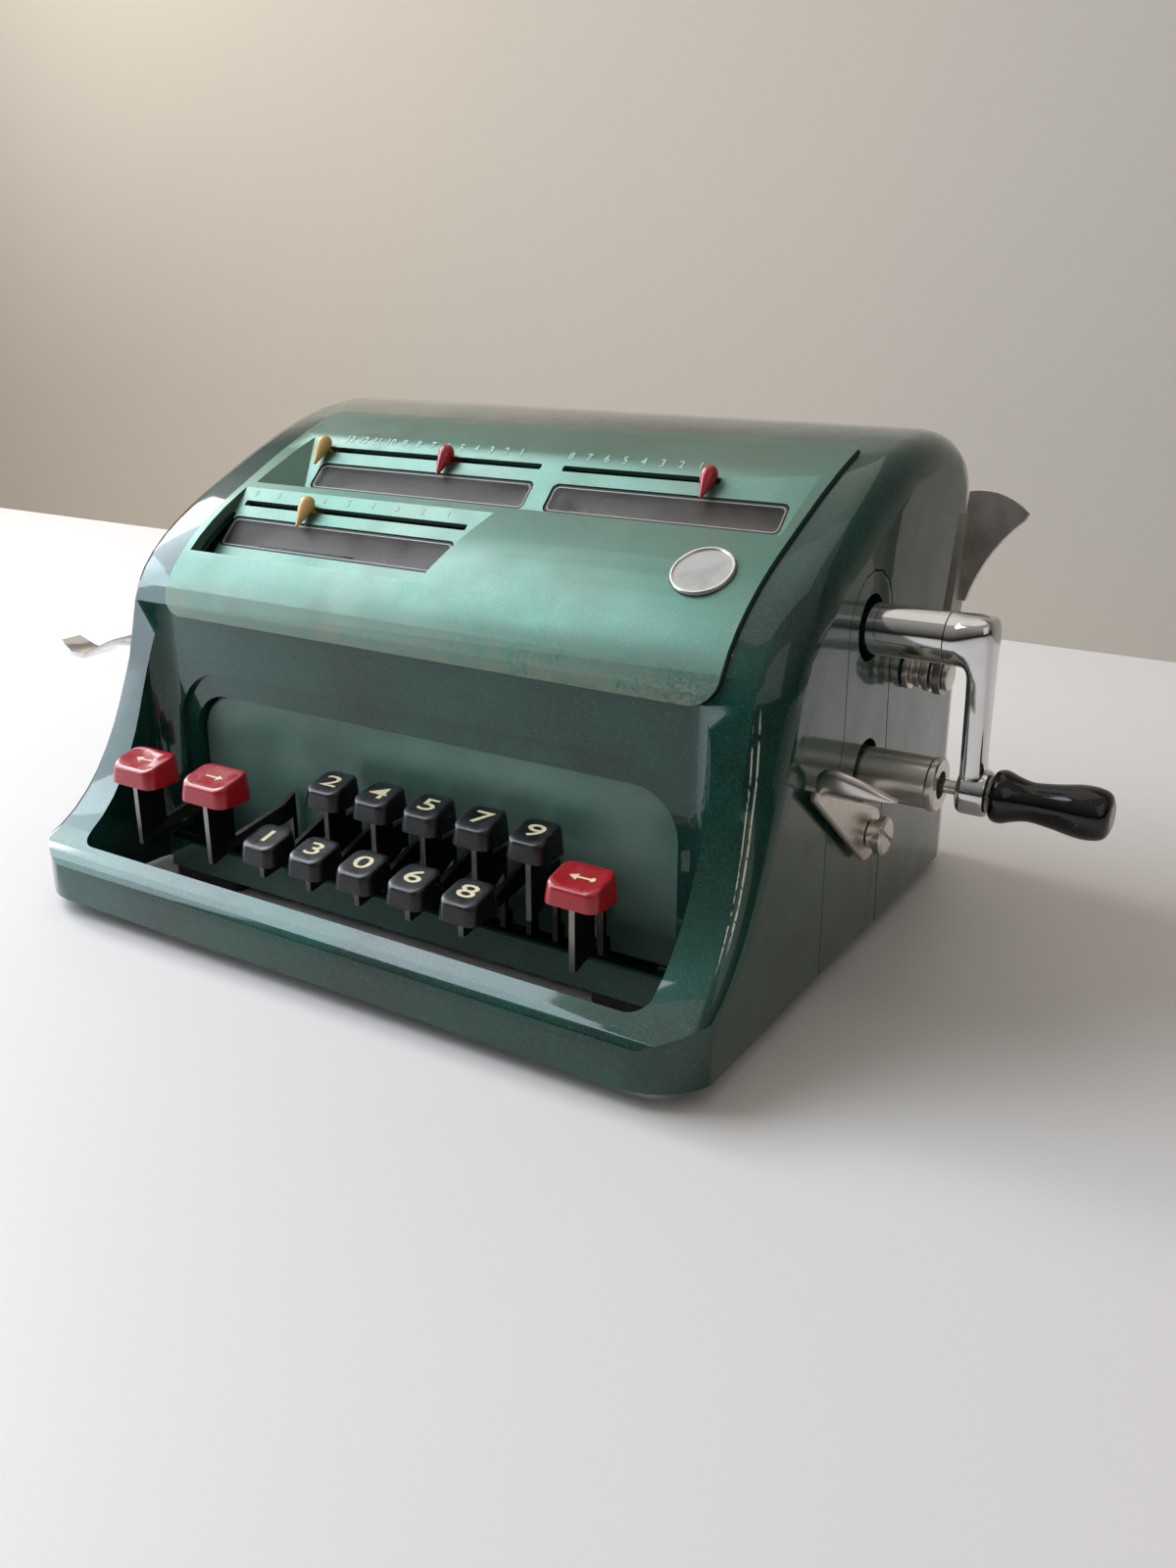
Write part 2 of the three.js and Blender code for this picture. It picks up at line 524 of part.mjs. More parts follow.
// Dial plate: one folded sheet behind both recesses, with a slot for each row of number wheels
function makeDialPlate() {
  const plates = [
    { recess: UPPER, x0: 14 - COVER_HALF, x1: COVER_HALF - 7, s0: 10.5, s1: 24.5 },
    { recess: LOWER, x0: 6.5 - COVER_HALF, x1: -1.5, s0: 9, s1: 22.5 },
  ];
  const leaves = plates.map(({ recess, x0, x1, s0, s1 }) => {
    const leaf = onRecess(recess, roundedRect(x0, s0, x1, s1, 1), MASK_DROP, MASK_DROP + MASK_THICK);
    const cuts = DIALS.filter((d) => d.recess === recess).map((d) =>
      onRecess(recess, roundedRect(d.x0, d.s - DIAL_SLOT / 2, d.x1, d.s + DIAL_SLOT / 2, 1), 0, 12));
    return without(leaf, cuts);
  });
  const high = onFace(UPPER, plates[0].s1 - 0.5, MASK_DROP + MASK_THICK / 2);
  const low = onFace(LOWER, plates[1].s0 + 0.5, MASK_DROP + MASK_THICK / 2);
  const half = MASK_THICK / 2;
  const web = polygon([
    [high.y, high.z - half], [high.y, high.z + half], [low.y, low.z + half], [low.y, low.z - half],
  ]);
  return union([...leaves, alongX(web, plates[0].x0 + 6, -20)]);
}

// Centre line of a row of number wheels, one wheel radius behind its dial plate
function dialCentre(dial) {
  return onFace(dial.recess, dial.s, MASK_DROP + MASK_THICK + WHEEL_RADIUS + 0.6);
}

// A row of ten-sided number wheels on its own shaft
function makeWheelRow(dial, shaft0, shaft1) {
  const { y, z } = dialCentre(dial);
  const pitch = (dial.x1 - dial.x0) / dial.wheels;
  const parts = [rodX(y, z, WHEEL_SHAFT, shaft0, shaft1, 4)];
  for (let i = 0; i < dial.wheels; i++) {
    const x0 = dial.x0 + i * pitch + WHEEL_GAP / 2;
    const corners = Array.from({ length: 10 }, (_, k) => (k + 0.5) * Math.PI / 5);
    const ring = polygon(corners.map((a) =>
      [y + WHEEL_RADIUS * Math.cos(a), z + WHEEL_RADIUS * Math.sin(a)]));
    parts.push(alongX(ring, x0, x0 + pitch - WHEEL_GAP));
  }
  return union(parts);
}

// Rounded cap that tapers upwards, with a dished top that faces the user and a socket for its lever
function makeCap({ width, depth, height }, x, y, top, stem) {
  const levels = [
    { z: -height, inset: 0, r: 2.4 }, { z: -0.9, inset: 1, r: 3.2 },
    { z: -0.25, inset: 1.5, r: 3 }, { z: 0, inset: 2.3, r: 2.6 },
  ];
  const rings = levels.map(({ z, inset, r }) => {
    const [hx, hy] = [width / 2 - inset - r, depth / 2 - inset * 0.9 - r];
    const corners = [[hx, hy], [-hx, hy], [-hx, -hy], [hx, -hy]];
    return corners.flatMap(([cx, cy], quarter) => [0, 1, 2, 3].map((i) => {
      const a = (quarter + i / 3) * Math.PI / 2;
      const dy = cy + r * Math.sin(a);
      const rise = z === -height ? 0 : dy * CAP_TILT;
      return new THREE.Vector3(x + cx + r * Math.cos(a), y + dy, top + z + rise);
    }));
  });
  const body = loft(rings);
  const slope = Math.atan(CAP_TILT);
  const axisHeight = DISH.radius / Math.cos(slope) - DISH.depth;
  const roller = new THREE.CylinderGeometry(DISH.radius, DISH.radius, depth * 2, 40);
  const dish = toSolid(roller.rotateX(slope).translate(x, y, top + axisHeight));
  const socket = alongX(roundedRect(stem.y0 - SEAT_GAP, 0, stem.y1 + SEAT_GAP, stem.top + SEAT_GAP, 0),
    x - LEVER_THICK / 2 - SEAT_GAP, x + LEVER_THICK / 2 + SEAT_GAP);
  return without(body, [dish, socket]);
}

// Key lever: stem under the cap, arm rising to the rear, drop in front of the panel,
// and a strip that runs back under the panel to the eye on the pivot shaft
function makeLever(x, stem, arm) {
  const { y: py, z: pz } = KEY_PIVOT;
  const eyeRadius = 4.4;
  const points = [[stem.y0, stem.low], [stem.y0, stem.top], [stem.y1, stem.top], [stem.y1, arm.top],
    [DROP.back, ARM_END.top], [DROP.back, LEVER_LOW.top], [py, pz + 2], [py, pz - 2],
    [DROP.front, LEVER_LOW.bottom], [DROP.front, ARM_END.bottom], [stem.y0 + 1.5, stem.low]];
  const [x0, x1] = [x - LEVER_THICK / 2, x + LEVER_THICK / 2];
  const plate = stepAside(alongX(polygon(points), x0, x1), arm.jog);
  const [eye0, eye1] = [x0 + arm.jog, x1 + arm.jog];
  const bore = rodX(py, pz, KEY_PIVOT.shaft + RUN_GAP, eye0 - 1, eye1 + 1, 5);
  return plate.add(rodX(py, pz, eyeRadius, eye0, eye1, 5)).subtract(bore);
}

// A lever whose rear part lies to one side: its middle stretch is sheared across
function stepAside(plate, jog) {
  if (!jog) return plate;
  const overlap = 0.1;
  const slope = jog / (JOG.back - JOG.front);
  const front = plate.trimByPlane([0, -1, 0], -JOG.front);
  const rear = plate.trimByPlane([0, 1, 0], JOG.back).translate([jog, 0, 0]);
  const middle = plate
    .trimByPlane([0, 1, 0], JOG.front - overlap)
    .trimByPlane([0, -1, 0], -JOG.back - overlap)
    .transform([1, 0, 0, 0, slope, 1, 0, 0, 0, 0, 1, 0, -slope * JOG.front, 0, 0, 1]);
  return union([front, middle, rear]);
}

// All keys: each has its place, its cap, its finish and the shape of its lever
function keyPlan() {
  const rowX = (i, shift) => KEY_MIDDLE + (i - 2) * KEY_PITCH + shift;
  const row = ({ y, top, labels }, shift, low, armTop) => labels.map((label, i) =>
    ({ label, x: rowX(i, shift), y, top, cap: NUMBER_CAP, finish: BLACK_GLOSS, low, armTop, jog: 0 }));
  const red = RED_KEYS.map((key) => ({ ...key, finish: RED_GLOSS, low: 20.2, armTop: 26 }));
  return [...row(FRONT_ROW, 0, 23, 26.8), ...row(BACK_ROW, KEY_PITCH / 2, 22.3, ARM_END.top), ...red];
}

// Each key is a cap on its own lever
function addKeys() {
  for (const { label, x, y, top, cap, finish, low, armTop, jog } of keyPlan()) {
    const stem = { y0: y + cap.stem[0], y1: y + cap.stem[1], top: top - cap.height + 5, low };
    add(`keycap_${label}`, makeCap(cap, x, y, top, stem), finish);
    add(`key_lever_${label}`, makeLever(x, stem, { top: armTop, jog }), BLACK_STEEL);
  }
  const reach = FRAME.x + FRAME.thick / 2;
  add('key_pivot_shaft', rodX(KEY_PIVOT.y, KEY_PIVOT.z, KEY_PIVOT.shaft, -reach, reach, 8), STEEL);
}

// Toothed wheel outline in (y, z): straight-flanked teeth, drawn with running clearance
function gearOutline(y, z, pitchRadius, phase) {
  const { teeth, depth } = GEAR;
  const shape = new THREE.Shape();
  const step = Math.PI * 2 / teeth;
  const corners = [[-0.3, -0.56], [-0.12, 0.38], [0.12, 0.38], [0.3, -0.56]];
  for (let i = 0; i < teeth; i++) {
    for (const [turn, out] of corners) {
      const a = phase + (i + turn) * step;
      const r = pitchRadius + out * depth;
      const p = [y + r * Math.cos(a), z + r * Math.sin(a)];
      if (i === 0 && turn === corners[0][0]) shape.moveTo(...p);
      else shape.lineTo(...p);
    }
  }
  return shape;
}

// Crank shaft: gear, journal and bright hub in one turned piece
function makeCrankShaft(pitchRadius, phase) {
  const [start, neck] = [GEAR.x0 - 3, FRAME.x + FRAME.thick + 1];
  const body = turnedX([
    [start, 0], [start, CRANK_JOURNAL], [neck, CRANK_JOURNAL],
    [neck, HUB_RADIUS], [HUB_END, HUB_RADIUS], [HUB_END, 0],
  ], CRANK.y, CRANK.z, 32);
  const teeth = gearOutline(CRANK.y, CRANK.z, pitchRadius, phase);
  return body.add(alongX(teeth, GEAR.x0, GEAR.x0 + GEAR.width));
}

// Crank arm: sections swept from the hub round the elbow and down to the boss.
// Each section runs from an inner to an outer point in (x, z) and is given its half depth and squareness.
function makeCrankArm() {
  const [low, top] = [CRANK.z - HUB_RADIUS, CRANK.z + HUB_RADIUS];
  const [inner, outer] = [ARM.inner, ARM.inner + ARM.thick];
  const start = HUB_END + SEAT_GAP;
  const sections = [
    [[start, low], [start, top], HUB_RADIUS, 2],
    [[inner - 1.7, low], [inner - 1.7, top], HUB_RADIUS, 2.3],
    [[inner - 0.9, low - 0.1], [outer - 3.8, top], 7, 2.8],
    [[inner - 0.4, low - 0.6], [outer - 1, top - 1], 6.6, 3.2],
    [[inner - 0.1, low - 1.4], [outer, top - 4.6], 6, 3.4],
    [[inner, low - 3], [outer, low + 0.5], 5.2, 3.4],
    [[inner, low - 9], [outer, low - 9], 4.6, 3.4],
    [[inner, HANDLE.z + 9], [outer, HANDLE.z + 9], 4.5, 3.2],
    [[inner, HANDLE.z + 4.5], [outer + 0.6, HANDLE.z + 4.5], 5, 3],
  ];
  const sides = 20;
  const rings = sections.map(([a, b, depth, power]) => Array.from({ length: sides }, (_, i) => {
    const angle = (i / sides) * Math.PI * 2;
    const squared = (v) => Math.sign(v) * Math.abs(v) ** (2 / power);
    const across = 0.5 + squared(Math.cos(angle)) / 2;
    const x = a[0] + (b[0] - a[0]) * across;
    const z = a[1] + (b[1] - a[1]) * across;
    const shift = (HANDLE.y - CRANK.y) * Math.max(0, low - z) / (low - HANDLE.z);
    return new THREE.Vector3(x, CRANK.y + shift + squared(Math.sin(angle)) * depth, z);
  }));
  const r = ARM.bossRadius;
  const boss = turnedX([[inner, 0], [inner, r - 1.2], [inner + 1.2, r], [inner + ARM.boss - 0.8, r],
    [inner + ARM.boss, r - 0.8], [inner + ARM.boss, 0]], HANDLE.y, HANDLE.z, 24);
  const bore = rodX(HANDLE.y, HANDLE.z, PIN.radius + RUN_GAP + 0.6, inner - 1, inner + ARM.boss + 1, 8);
  return loft(rings).add(boss).subtract(bore);
}

// Spindle through the arm; its tip is the locking pin
function makeSpindle() {
  const end = GRIP.start + GRIP.length - 5;
  return turnedX([[PIN.tip, 0], [PIN.tip, 1.2], [PIN.tip + 0.9, PIN.radius],
    [end, PIN.radius], [end, 0]], HANDLE.y, HANDLE.z, 12);
}

// Turned grip, hollow for the spindle
function makeGrip() {
  const { start, length } = GRIP;
  const swell = [
    [0, 6.4], [0.035, 7.2], [0.1, 7.4], [0.2, 6.3], [0.33, 5.5], [0.52, 6.1],
    [0.7, 7.1], [0.82, 7.3], [0.92, 6.8], [0.98, 5.6], [1, 4.4],
  ];
  const curve = new THREE.SplineCurve(swell.map(([t, r]) => new THREE.Vector2(start + t * length, r)));
  const skin = curve.getPoints(15).map((p) => [p.x, p.y]);
  const bore = PIN.radius + RUN_GAP;
  const [end, floor] = [start + length, start + length - 3];
  const profile = [[start, bore], ...skin, [end, 0], [floor, 0], [floor, bore], [start, bore]];
  return turnedX(profile, HANDLE.y, HANDLE.z, 28);
}

// Stop post with a ring at its end and a socket for the locking pin
function makePost() {
  const start = FRAME.x + FRAME.thick + SEAT_GAP;
  const { radius, ring, end, bore, boreDepth } = POST;
  return turnedX([
    [FRAME.x, 0], [FRAME.x, FIXED_SCREW], [start, FIXED_SCREW], [start, radius], [end - 2.6, radius],
    [end - 2.6, ring - 0.4], [end - 2.1, ring], [end - 0.5, ring], [end, ring - 0.6],
    [end, bore], [end - boreDepth, bore], [end - boreDepth, 0],
  ], HANDLE.y, HANDLE.z, 24);
}

// Large clearing lever: flat arm beside the casing and a fanned thumb plate across its top
function makeFanLever() {
  const arm = new THREE.Shape();
  arm.moveTo(-5.8, 0).lineTo(-3.4, 47).lineTo(4.2, 47).lineTo(6.4, 0);
  arm.absarc(0.3, 0, 6.1, 0, -Math.PI, true);
  const plate = new THREE.Shape();
  plate.moveTo(FAN.x0, 22).lineTo(FAN.x0, 53.5);
  plate.quadraticCurveTo(FAN.x0 + 10, 55.5, FAN.x0 + 18, 48.5);
  plate.lineTo(FAN.x0 + 17.2, 46.6);
  plate.quadraticCurveTo(FAN.x1 + 4.5, 37, FAN.x1 + 1.2, 22);
  const blank = alongX(arm, FAN.x0, FAN.x1, { steps: 8 }).add(alongY(plate, 3, 4.8, { steps: 7 }));
  const bored = blank.subtract(rodX(0, 0, FAN.stud + RUN_GAP, FAN.x0 - 1, FAN.x1 + 1, 10));
  return bored.rotate([-FAN.lean, 0, 0]).translate([0, FAN.y, FAN.z]);
}

// Grooved pivot of the large lever, screwed through the casing into the frame
function makeFanPivot() {
  const start = FRAME.x + FRAME.thick + SEAT_GAP;
  const profile = [[FRAME.x, 0], [FRAME.x, FIXED_SCREW], [start, FIXED_SCREW], [start, FAN.stud]];
  const side = BODY_RIGHT - SIDE_DRAFT * FAN.z + SEAT_GAP;
  profile.push([side, FAN.stud]);
  const rib = (FAN.x0 - SEAT_GAP - side) / 3;
  for (let i = 0; i < 3; i++) {
    const x = side + i * rib;
    profile.push([x + 0.2, 5.6 - (i % 2) * 0.8], [x + rib * 0.62, 5.6 - (i % 2) * 0.8], [x + rib * 0.8, 4]);
  }
  profile.push([FAN.x0 - SEAT_GAP, 4], [FAN.x0 - SEAT_GAP, FAN.stud], [FAN.x1 + SEAT_GAP, FAN.stud]);
  profile.push([FAN.x1 + SEAT_GAP, 4.6], [FAN.x1 + 1.6, 4.6], [FAN.x1 + 1.9, 4], [FAN.x1 + 1.9, 0]);
  return turnedX(profile, FAN.y, FAN.z, 16);
}

// Small clearing lever: a pressed triangular plate with a curved thumb flange
function makeSmallLever() {
  const { x0, x1 } = SMALL;
  const head = 8.2;
  const plate = new THREE.Shape();
  plate.moveTo(-42.6, 23.6).absarc(0, 0, head, -Math.PI * 0.62, Math.PI * 0.25);
  plate.lineTo(-7, 12).lineTo(-42, 26);
  const pad = new THREE.Shape();
  pad.moveTo(x0, 21).lineTo(x0, 30).quadraticCurveTo(x0 + 2, 32.4, x0 + 7, 31.8);
  pad.quadraticCurveTo(x0 + 15, 29.8, x0 + 21.2, 26.6).quadraticCurveTo(x0 + 21.6, 25.4, x0 + 20, 25.4);
  pad.lineTo(x1 + 1, 25.2).lineTo(x1, 21);
  const blank = alongX(plate, x0, x1, { steps: 8 }).add(alongY(pad, -39, -37, { steps: 5, bevel: 0.5 }));
  const bored = blank.subtract(rodX(0, 0, SMALL.screw + RUN_GAP, x0 - 1, x1 + 1, 10));
  return bored.translate([0, SMALL.y, SMALL.z]);
}

// Slotted shoulder screw that holds the small lever
function makeSmallScrew() {
  const start = FRAME.x + FRAME.thick + SEAT_GAP;
  const { x0, x1, screw, y, z } = SMALL;
  const [inside, outside] = [x0 - SEAT_GAP, x1 + SEAT_GAP];
  const body = turnedX([
    [FRAME.x, 0], [FRAME.x, FIXED_SCREW], [start, FIXED_SCREW], [start, screw],
    [inside - 2.2, screw], [inside - 2.2, 4.2], [inside, 4.2], [inside, screw],
    [outside, screw], [outside, 4.4], [x1 + 2.6, 4.4], [x1 + 2.6, 5.7],
    [x1 + 4.6, 5.7], [x1 + 5.2, 5], [x1 + 5.2, 0],
  ], y, z, 18);
  const slot = alongX(roundedRect(-7, -0.6, 7, 0.6, 0), x1 + 4, x1 + 7);
  return body.subtract(slot.rotate([-35, 0, 0]).translate([0, y, z]));
}

// Left lever: an S-shaped thumb blade outside, on a plate that pivots inside the casing
function makeLeftLever() {
  const blade = [
    [LEFT.x, 58, 0, 6.4, 1.6], [-119, 58, 0.4, 6.4, 1.6],
    [-126, 56.8, 2.8, 7.6, 1.5], [-132, 55, 3.2, 9, 1.4],
    [-138, 53.2, 0.2, 10.4, 1.4], [-143, 52, -2.6, 11, 1.4],
    [-148, 51, -1.8, 10.4, 1.3], [-153, 50, 1.6, 8, 1.1],
  ];
  const rings = blade.map(([x, y, dz, w, t]) => [[-1, -1], [1, -1], [1, 1], [-1, 1]]
    .map(([a, b]) => new THREE.Vector3(x, y + a * w / 2, LEFT.z + dz + b * t / 2)));
  const plate = new THREE.Shape();
  plate.moveTo(54.8, LEFT.z - 3).lineTo(54.8, LEFT.z + 4).lineTo(62, LEFT.z + 4).lineTo(LEFT.y, LEFT.z + 6);
  plate.absarc(LEFT.y, LEFT.z, 6, Math.PI / 2, -Math.PI / 2, true);
  plate.lineTo(62, LEFT.z - 3);
  const arm = alongX(plate, LEFT.x, LEFT.x + LEFT.thick, { steps: 6 });
  return loft(rings).add(arm).subtract(rodX(LEFT.y, LEFT.z, LEFT.pin + RUN_GAP, LEFT.x - 1, LEFT.x + 3, 8));
}

// Frame: a plate at each side, a middle bracket for the upper wheel shafts and two tie bars
function makeFrame() {
  const upper = dialCentre(DIALS[0]);
  const lower = dialCentre(DIALS[2]);
  const floor = PAN_BOTTOM + PAN_SHEET + SEAT_GAP;
  const side = roundedRect(FRAME.front, floor, FRAME.back, FRAME.top, [3, 3, 30, 14]);
  const plate = union([side, eye(lower, 9), eye(upper, 9)].map((shape) => alongX(shape, 0, FRAME.thick)));
  const [low, high] = FRAME.ties;
  const parts = [plate.translate([FRAME.x, 0, 0]), plate.translate([-FRAME.x - FRAME.thick, 0, 0])];
  const arms = [tongue(high, upper, 6.5), tongue(high, low, 6.5)];
  const bracket = union(arms.map((shape) => alongX(shape, 0, FRAME.thick)));
  for (const x of FRAME.brackets) parts.push(bracket.translate([x, 0, 0]));
  for (const { y, z } of FRAME.ties) parts.push(rodX(y, z, 3.5, -FRAME.x - 1, FRAME.x + 1, 6));
  parts.push(rodX(LEFT.y, LEFT.z, LEFT.pin, LEFT.x - SEAT_GAP, -FRAME.x - 1, 6));
  const through = [[CRANK, CRANK_JOURNAL], [ROTOR, ROTOR.shaft - 1], [KEY_PIVOT, KEY_PIVOT.shaft],
    [upper, WHEEL_SHAFT], [lower, WHEEL_SHAFT]];
  const rightOnly = [HANDLE, FAN, SMALL].map((at) => [at, FIXED_SCREW]);
  const bore = (x0) => ([{ y, z }, r]) => rodX(y, z, r + RUN_GAP, x0, FRAME.x + 9, 7);
  return without(union(parts), [...through.map(bore(-FRAME.x - 9)), ...rightOnly.map(bore(0))]);
}

// Outline in (y, z) of a round eye, and of a tongue between two round ends
function eye({ y, z }, radius) {
  const low = 60;
  const shape = new THREE.Shape().moveTo(y - radius, low).lineTo(y - radius, z);
  return shape.absarc(y, z, radius, Math.PI, 0, true).lineTo(y + radius, low);
}
function tongue(from, to, radius) {
  const a = Math.atan2(to.z - from.z, to.y - from.y);
  const shape = new THREE.Shape();
  shape.absarc(to.y, to.z, radius, a - Math.PI / 2, a + Math.PI / 2);
  shape.absarc(from.y, from.z, radius, a + Math.PI / 2, a + Math.PI * 1.5);
  return shape;
}

// Pinwheel rotor: a shaft with a gear and a row of discs, each with its pins set out in a fan
function makeRotor(y, z, pitchRadius, phase) {
  const reach = FRAME.x + FRAME.thick / 2;
  const [left, right] = [-FRAME.x + SEAT_GAP + 2, FRAME.x - SEAT_GAP - 1];
  const journal = ROTOR.shaft - 1;
  const shaft = turnedX([
    [-reach, 0], [-reach, journal], [left, journal], [left, ROTOR.shaft],
    [right, ROTOR.shaft], [right, journal], [reach, journal], [reach, 0],
  ], y, z, 8);
  const parts = [shaft, alongX(gearOutline(y, z, pitchRadius, phase), GEAR.x0, GEAR.x0 + GEAR.width)];
  for (let i = 0; i < ROTOR.discs; i++) {
    const x = -70 + i * 7;
    parts.push(rodX(y, z, ROTOR.radius, x, x + 4.5, 10));
    const pins = 1 + (i * 4) % 7;
    for (let k = 0; k < pins; k++) {
      const outline = roundedRect(ROTOR.radius - 2, -0.8, ROTOR.radius + ROTOR.pin, 0.8, 0);
      const pin = alongX(outline, x + 1.4, x + 3.1);
      parts.push(pin.rotate([60 + k * 12, 0, 0]).translate([0, y, z]));
    }
  }
  return union(parts);
}

// Base pan: folded sheet with an upturned apron in front, a neck under the key panel
// and a wide tray with a low rim inside the casing
function makePan() {
  const rearHalf = BODY_HALF - WALL - SEAM_GAP - 0.6;
  const back = BODY_DEPTH - WALL - SEAM_GAP;
  const split = FRONT_FACE + FRONT_WALL + 1.5;
  const neckHalf = PANEL_HALF - SEAM_GAP;
  const plan = (half, y0, y1, t, radii, z0, z1) => {
    const inner = radii.map((r) => Math.max(0, r - t));
    const outline = roundedRect(BODY_MIDDLE - half + t, y0, BODY_MIDDLE + half - t, y1, inner);
    return alongZ(outline, z0, z1, { steps: 3 });
  };
  const tray = (t, z0, z1) => union([
    plan(APRON.half, APRON.front + t, APRON.back - t, t, [PAN_CORNER, PAN_CORNER, 0, 0], z0, z1),
    plan(neckHalf, APRON.front + PAN_CORNER, split + PAN_CORNER, t, [0, 0, 0, 0], z0, z1),
    plan(rearHalf, split + t, back - t, t, [2, 2, REAR_CORNER, REAR_CORNER], z0, z1),
  ]);
  const hollow = tray(PAN_SHEET, PAN_BOTTOM + PAN_SHEET, APRON.top + 1);
  const shell = tray(0, PAN_BOTTOM, APRON.top).subtract(hollow);
  const whole = BODY_HALF + THROUGH;
  const square = [0, 0, 0, 0];
  const overNeck = plan(whole, APRON.back + 0.01, BODY_DEPTH, 0, square, RIM_TOP, APRON.top + 1);
  const underPanel = plan(whole, APRON.back + 0.01, split - 0.01, 0, square, NECK_TOP, APRON.top + 1);
  return without(shell, [overNeck, underPanel]);
}

// Four rubber feet under the pan
function makeFeet() {
  for (const [row, y] of [['front', FOOT.front], ['rear', FOOT.rear]]) {
    for (const [side, x] of [['left', BODY_MIDDLE - FOOT.x], ['right', BODY_MIDDLE + FOOT.x]]) {
      const outline = roundedRect(x - FOOT.half, y - FOOT.depth / 2, x + FOOT.half, y + FOOT.depth / 2, 3);
      add(`foot_${row}_${side}`, alongZ(outline, 0, PAN_BOTTOM - SEAT_GAP, { steps: 3 }), RUBBER);
    }
  }
}

// Key panel: a plate with a rolled edge behind the keys, notched at its foot for the levers
function makePanel() {
  const [x0, x1] = [BODY_MIDDLE - PANEL_HALF, BODY_MIDDLE + PANEL_HALF];
  const outline = roundedRect(x0, PANEL_BOTTOM, x1, PANEL_TOP, [1, 1, PANEL_CORNER, PANEL_CORNER]);
  const front = FRONT_FACE + PANEL_SET;
  const half = LEVER_THICK / 2 + SEAT_GAP;
  const notches = keyPlan().map(({ x, jog }) => {
    const at = x + jog;
    const notch = roundedRect(at - half, PANEL_BOTTOM - THROUGH, at + half, LEVER_LOW.top + 0.8, 0);
    return alongY(notch, front - 1, front + PANEL_THICK + 1);
  });
  return without(alongY(outline, front, front + PANEL_THICK, { steps: 6, bevel: 0.8 }), notches);
}

// Pointer: a drop-shaped rider whose neck goes through its slot to a foot behind
function makePointer({ slot, x }) {
  const { recess, s } = SLOTS[slot];
  const { head, lift, lean, neck, foot, footThick } = POINTER;
  const profile = new THREE.SplineCurve([[-3, 0.5], [-2.5, 1.7], [-0.6, head], [2.4, 2.1], [8, 0.4]]
    .map(([a, r]) => new THREE.Vector2(r, a)));
  const skin = profile.getPoints(9);
  const end = skin[skin.length - 1];
  const points = [new THREE.Vector2(0, skin[0].y), ...skin, new THREE.Vector2(0, end.y)];
  const drop = new THREE.LatheGeometry(points, 12);
  drop.rotateX(THREE.MathUtils.degToRad(lean)).translate(x, s, -head * 0.72 - lift);
  const square = (hx, hy, r, depth0, depth1) =>
    onRecess(recess, roundedRect(x - hx, s - hy, x + hx, s + hy, r), depth0, depth1);
  const behind = POCKET_WALL + 0.9;
  const body = toSolid(drop.applyMatrix4(faceBasis(recess))).intersect(square(9, 12, 0, -14, -lift));
  const stem = square(neck, neck - 0.1, 0, -2, behind + footThick);
  const back = square(foot, foot, 0.3, behind, behind + footThick);
  return union([body, stem, back]);
}

// Gear pair: equal wheels whose pitch circles meet between crank and rotor
const gearSpan = Math.hypot(ROTOR.y - CRANK.y, ROTOR.z - CRANK.z);
const pitchRadius = gearSpan / 2;
const meshAngle = Math.atan2(ROTOR.z - CRANK.z, ROTOR.y - CRANK.y);
const halfTooth = Math.PI / GEAR.teeth;

const outerForm = casingForm(0, BODY_LIFT);
const planOutline = roundedRect(BODY_LEFT - 1, 0, BODY_RIGHT + 1, BODY_DEPTH + 1,
  [PLAN_CORNER, PLAN_CORNER, 0, 0]);
const planForm = alongZ(planOutline, -THROUGH, ABOVE, { steps: 8 });
const outerBody = outerForm.intersect(planForm);
const innerForm = casingForm(WALL, -20);

add('casing', makeCasing(outerBody, innerForm), DARK_GREEN);
add('side_strip', makeStrip(outerBody, innerForm), DARK_GREEN);
add('top_cover', makeCover(), LIGHT_GREEN);
add('key_panel', makePanel(), PANEL_GREEN);
add('base_pan', makePan(), DARK_GREEN);
makeFeet();
for (const pane of WINDOWS) add(pane.name, makePane(pane), CLEAR);
add('dial_plate', makeDialPlate(), DIAL_GREY);
for (const pointer of POINTERS) {
  add(pointer.name, makePointer(pointer), { color: pointer.colour, roughness: 0.3, metalness: 0 });
}
add('badge_disc', badgeSolid(BADGE.radius, -0.5 + SEAT_GAP, BADGE.thick, coverHeight(BADGE.y)), STEEL);
addKeys();
add('crank_shaft', makeCrankShaft(pitchRadius, meshAngle), CHROME);
add('crank_arm', makeCrankArm(), CHROME);
add('handle_spindle', makeSpindle(), STEEL);
add('crank_grip', makeGrip(), BLACK_GLOSS);
add('stop_post', makePost(), STEEL);
add('clearing_lever', makeFanLever(), CHROME);
add('clearing_lever_pivot', makeFanPivot(), STEEL);
add('counter_lever', makeSmallLever(), STEEL);
add('counter_lever_screw', makeSmallScrew(), STEEL);
add('left_lever', makeLeftLever(), CHROME);
add('frame', makeFrame(), STEEL);
add('rotor', makeRotor(ROTOR.y, ROTOR.z, pitchRadius, meshAngle + Math.PI + halfTooth), BRASS);
const shaftEnd = FRAME.x + FRAME.thick / 2;
const [middle, right] = FRAME.brackets.map((x) => x + FRAME.thick / 2);
add('product_wheels', makeWheelRow(DIALS[0], -shaftEnd, middle - SEAT_GAP), BLACK_STEEL);
add('counter_wheels', makeWheelRow(DIALS[1], middle + SEAT_GAP, right), BLACK_STEEL);
add('setting_wheels', makeWheelRow(DIALS[2], -shaftEnd, shaftEnd), BLACK_STEEL);

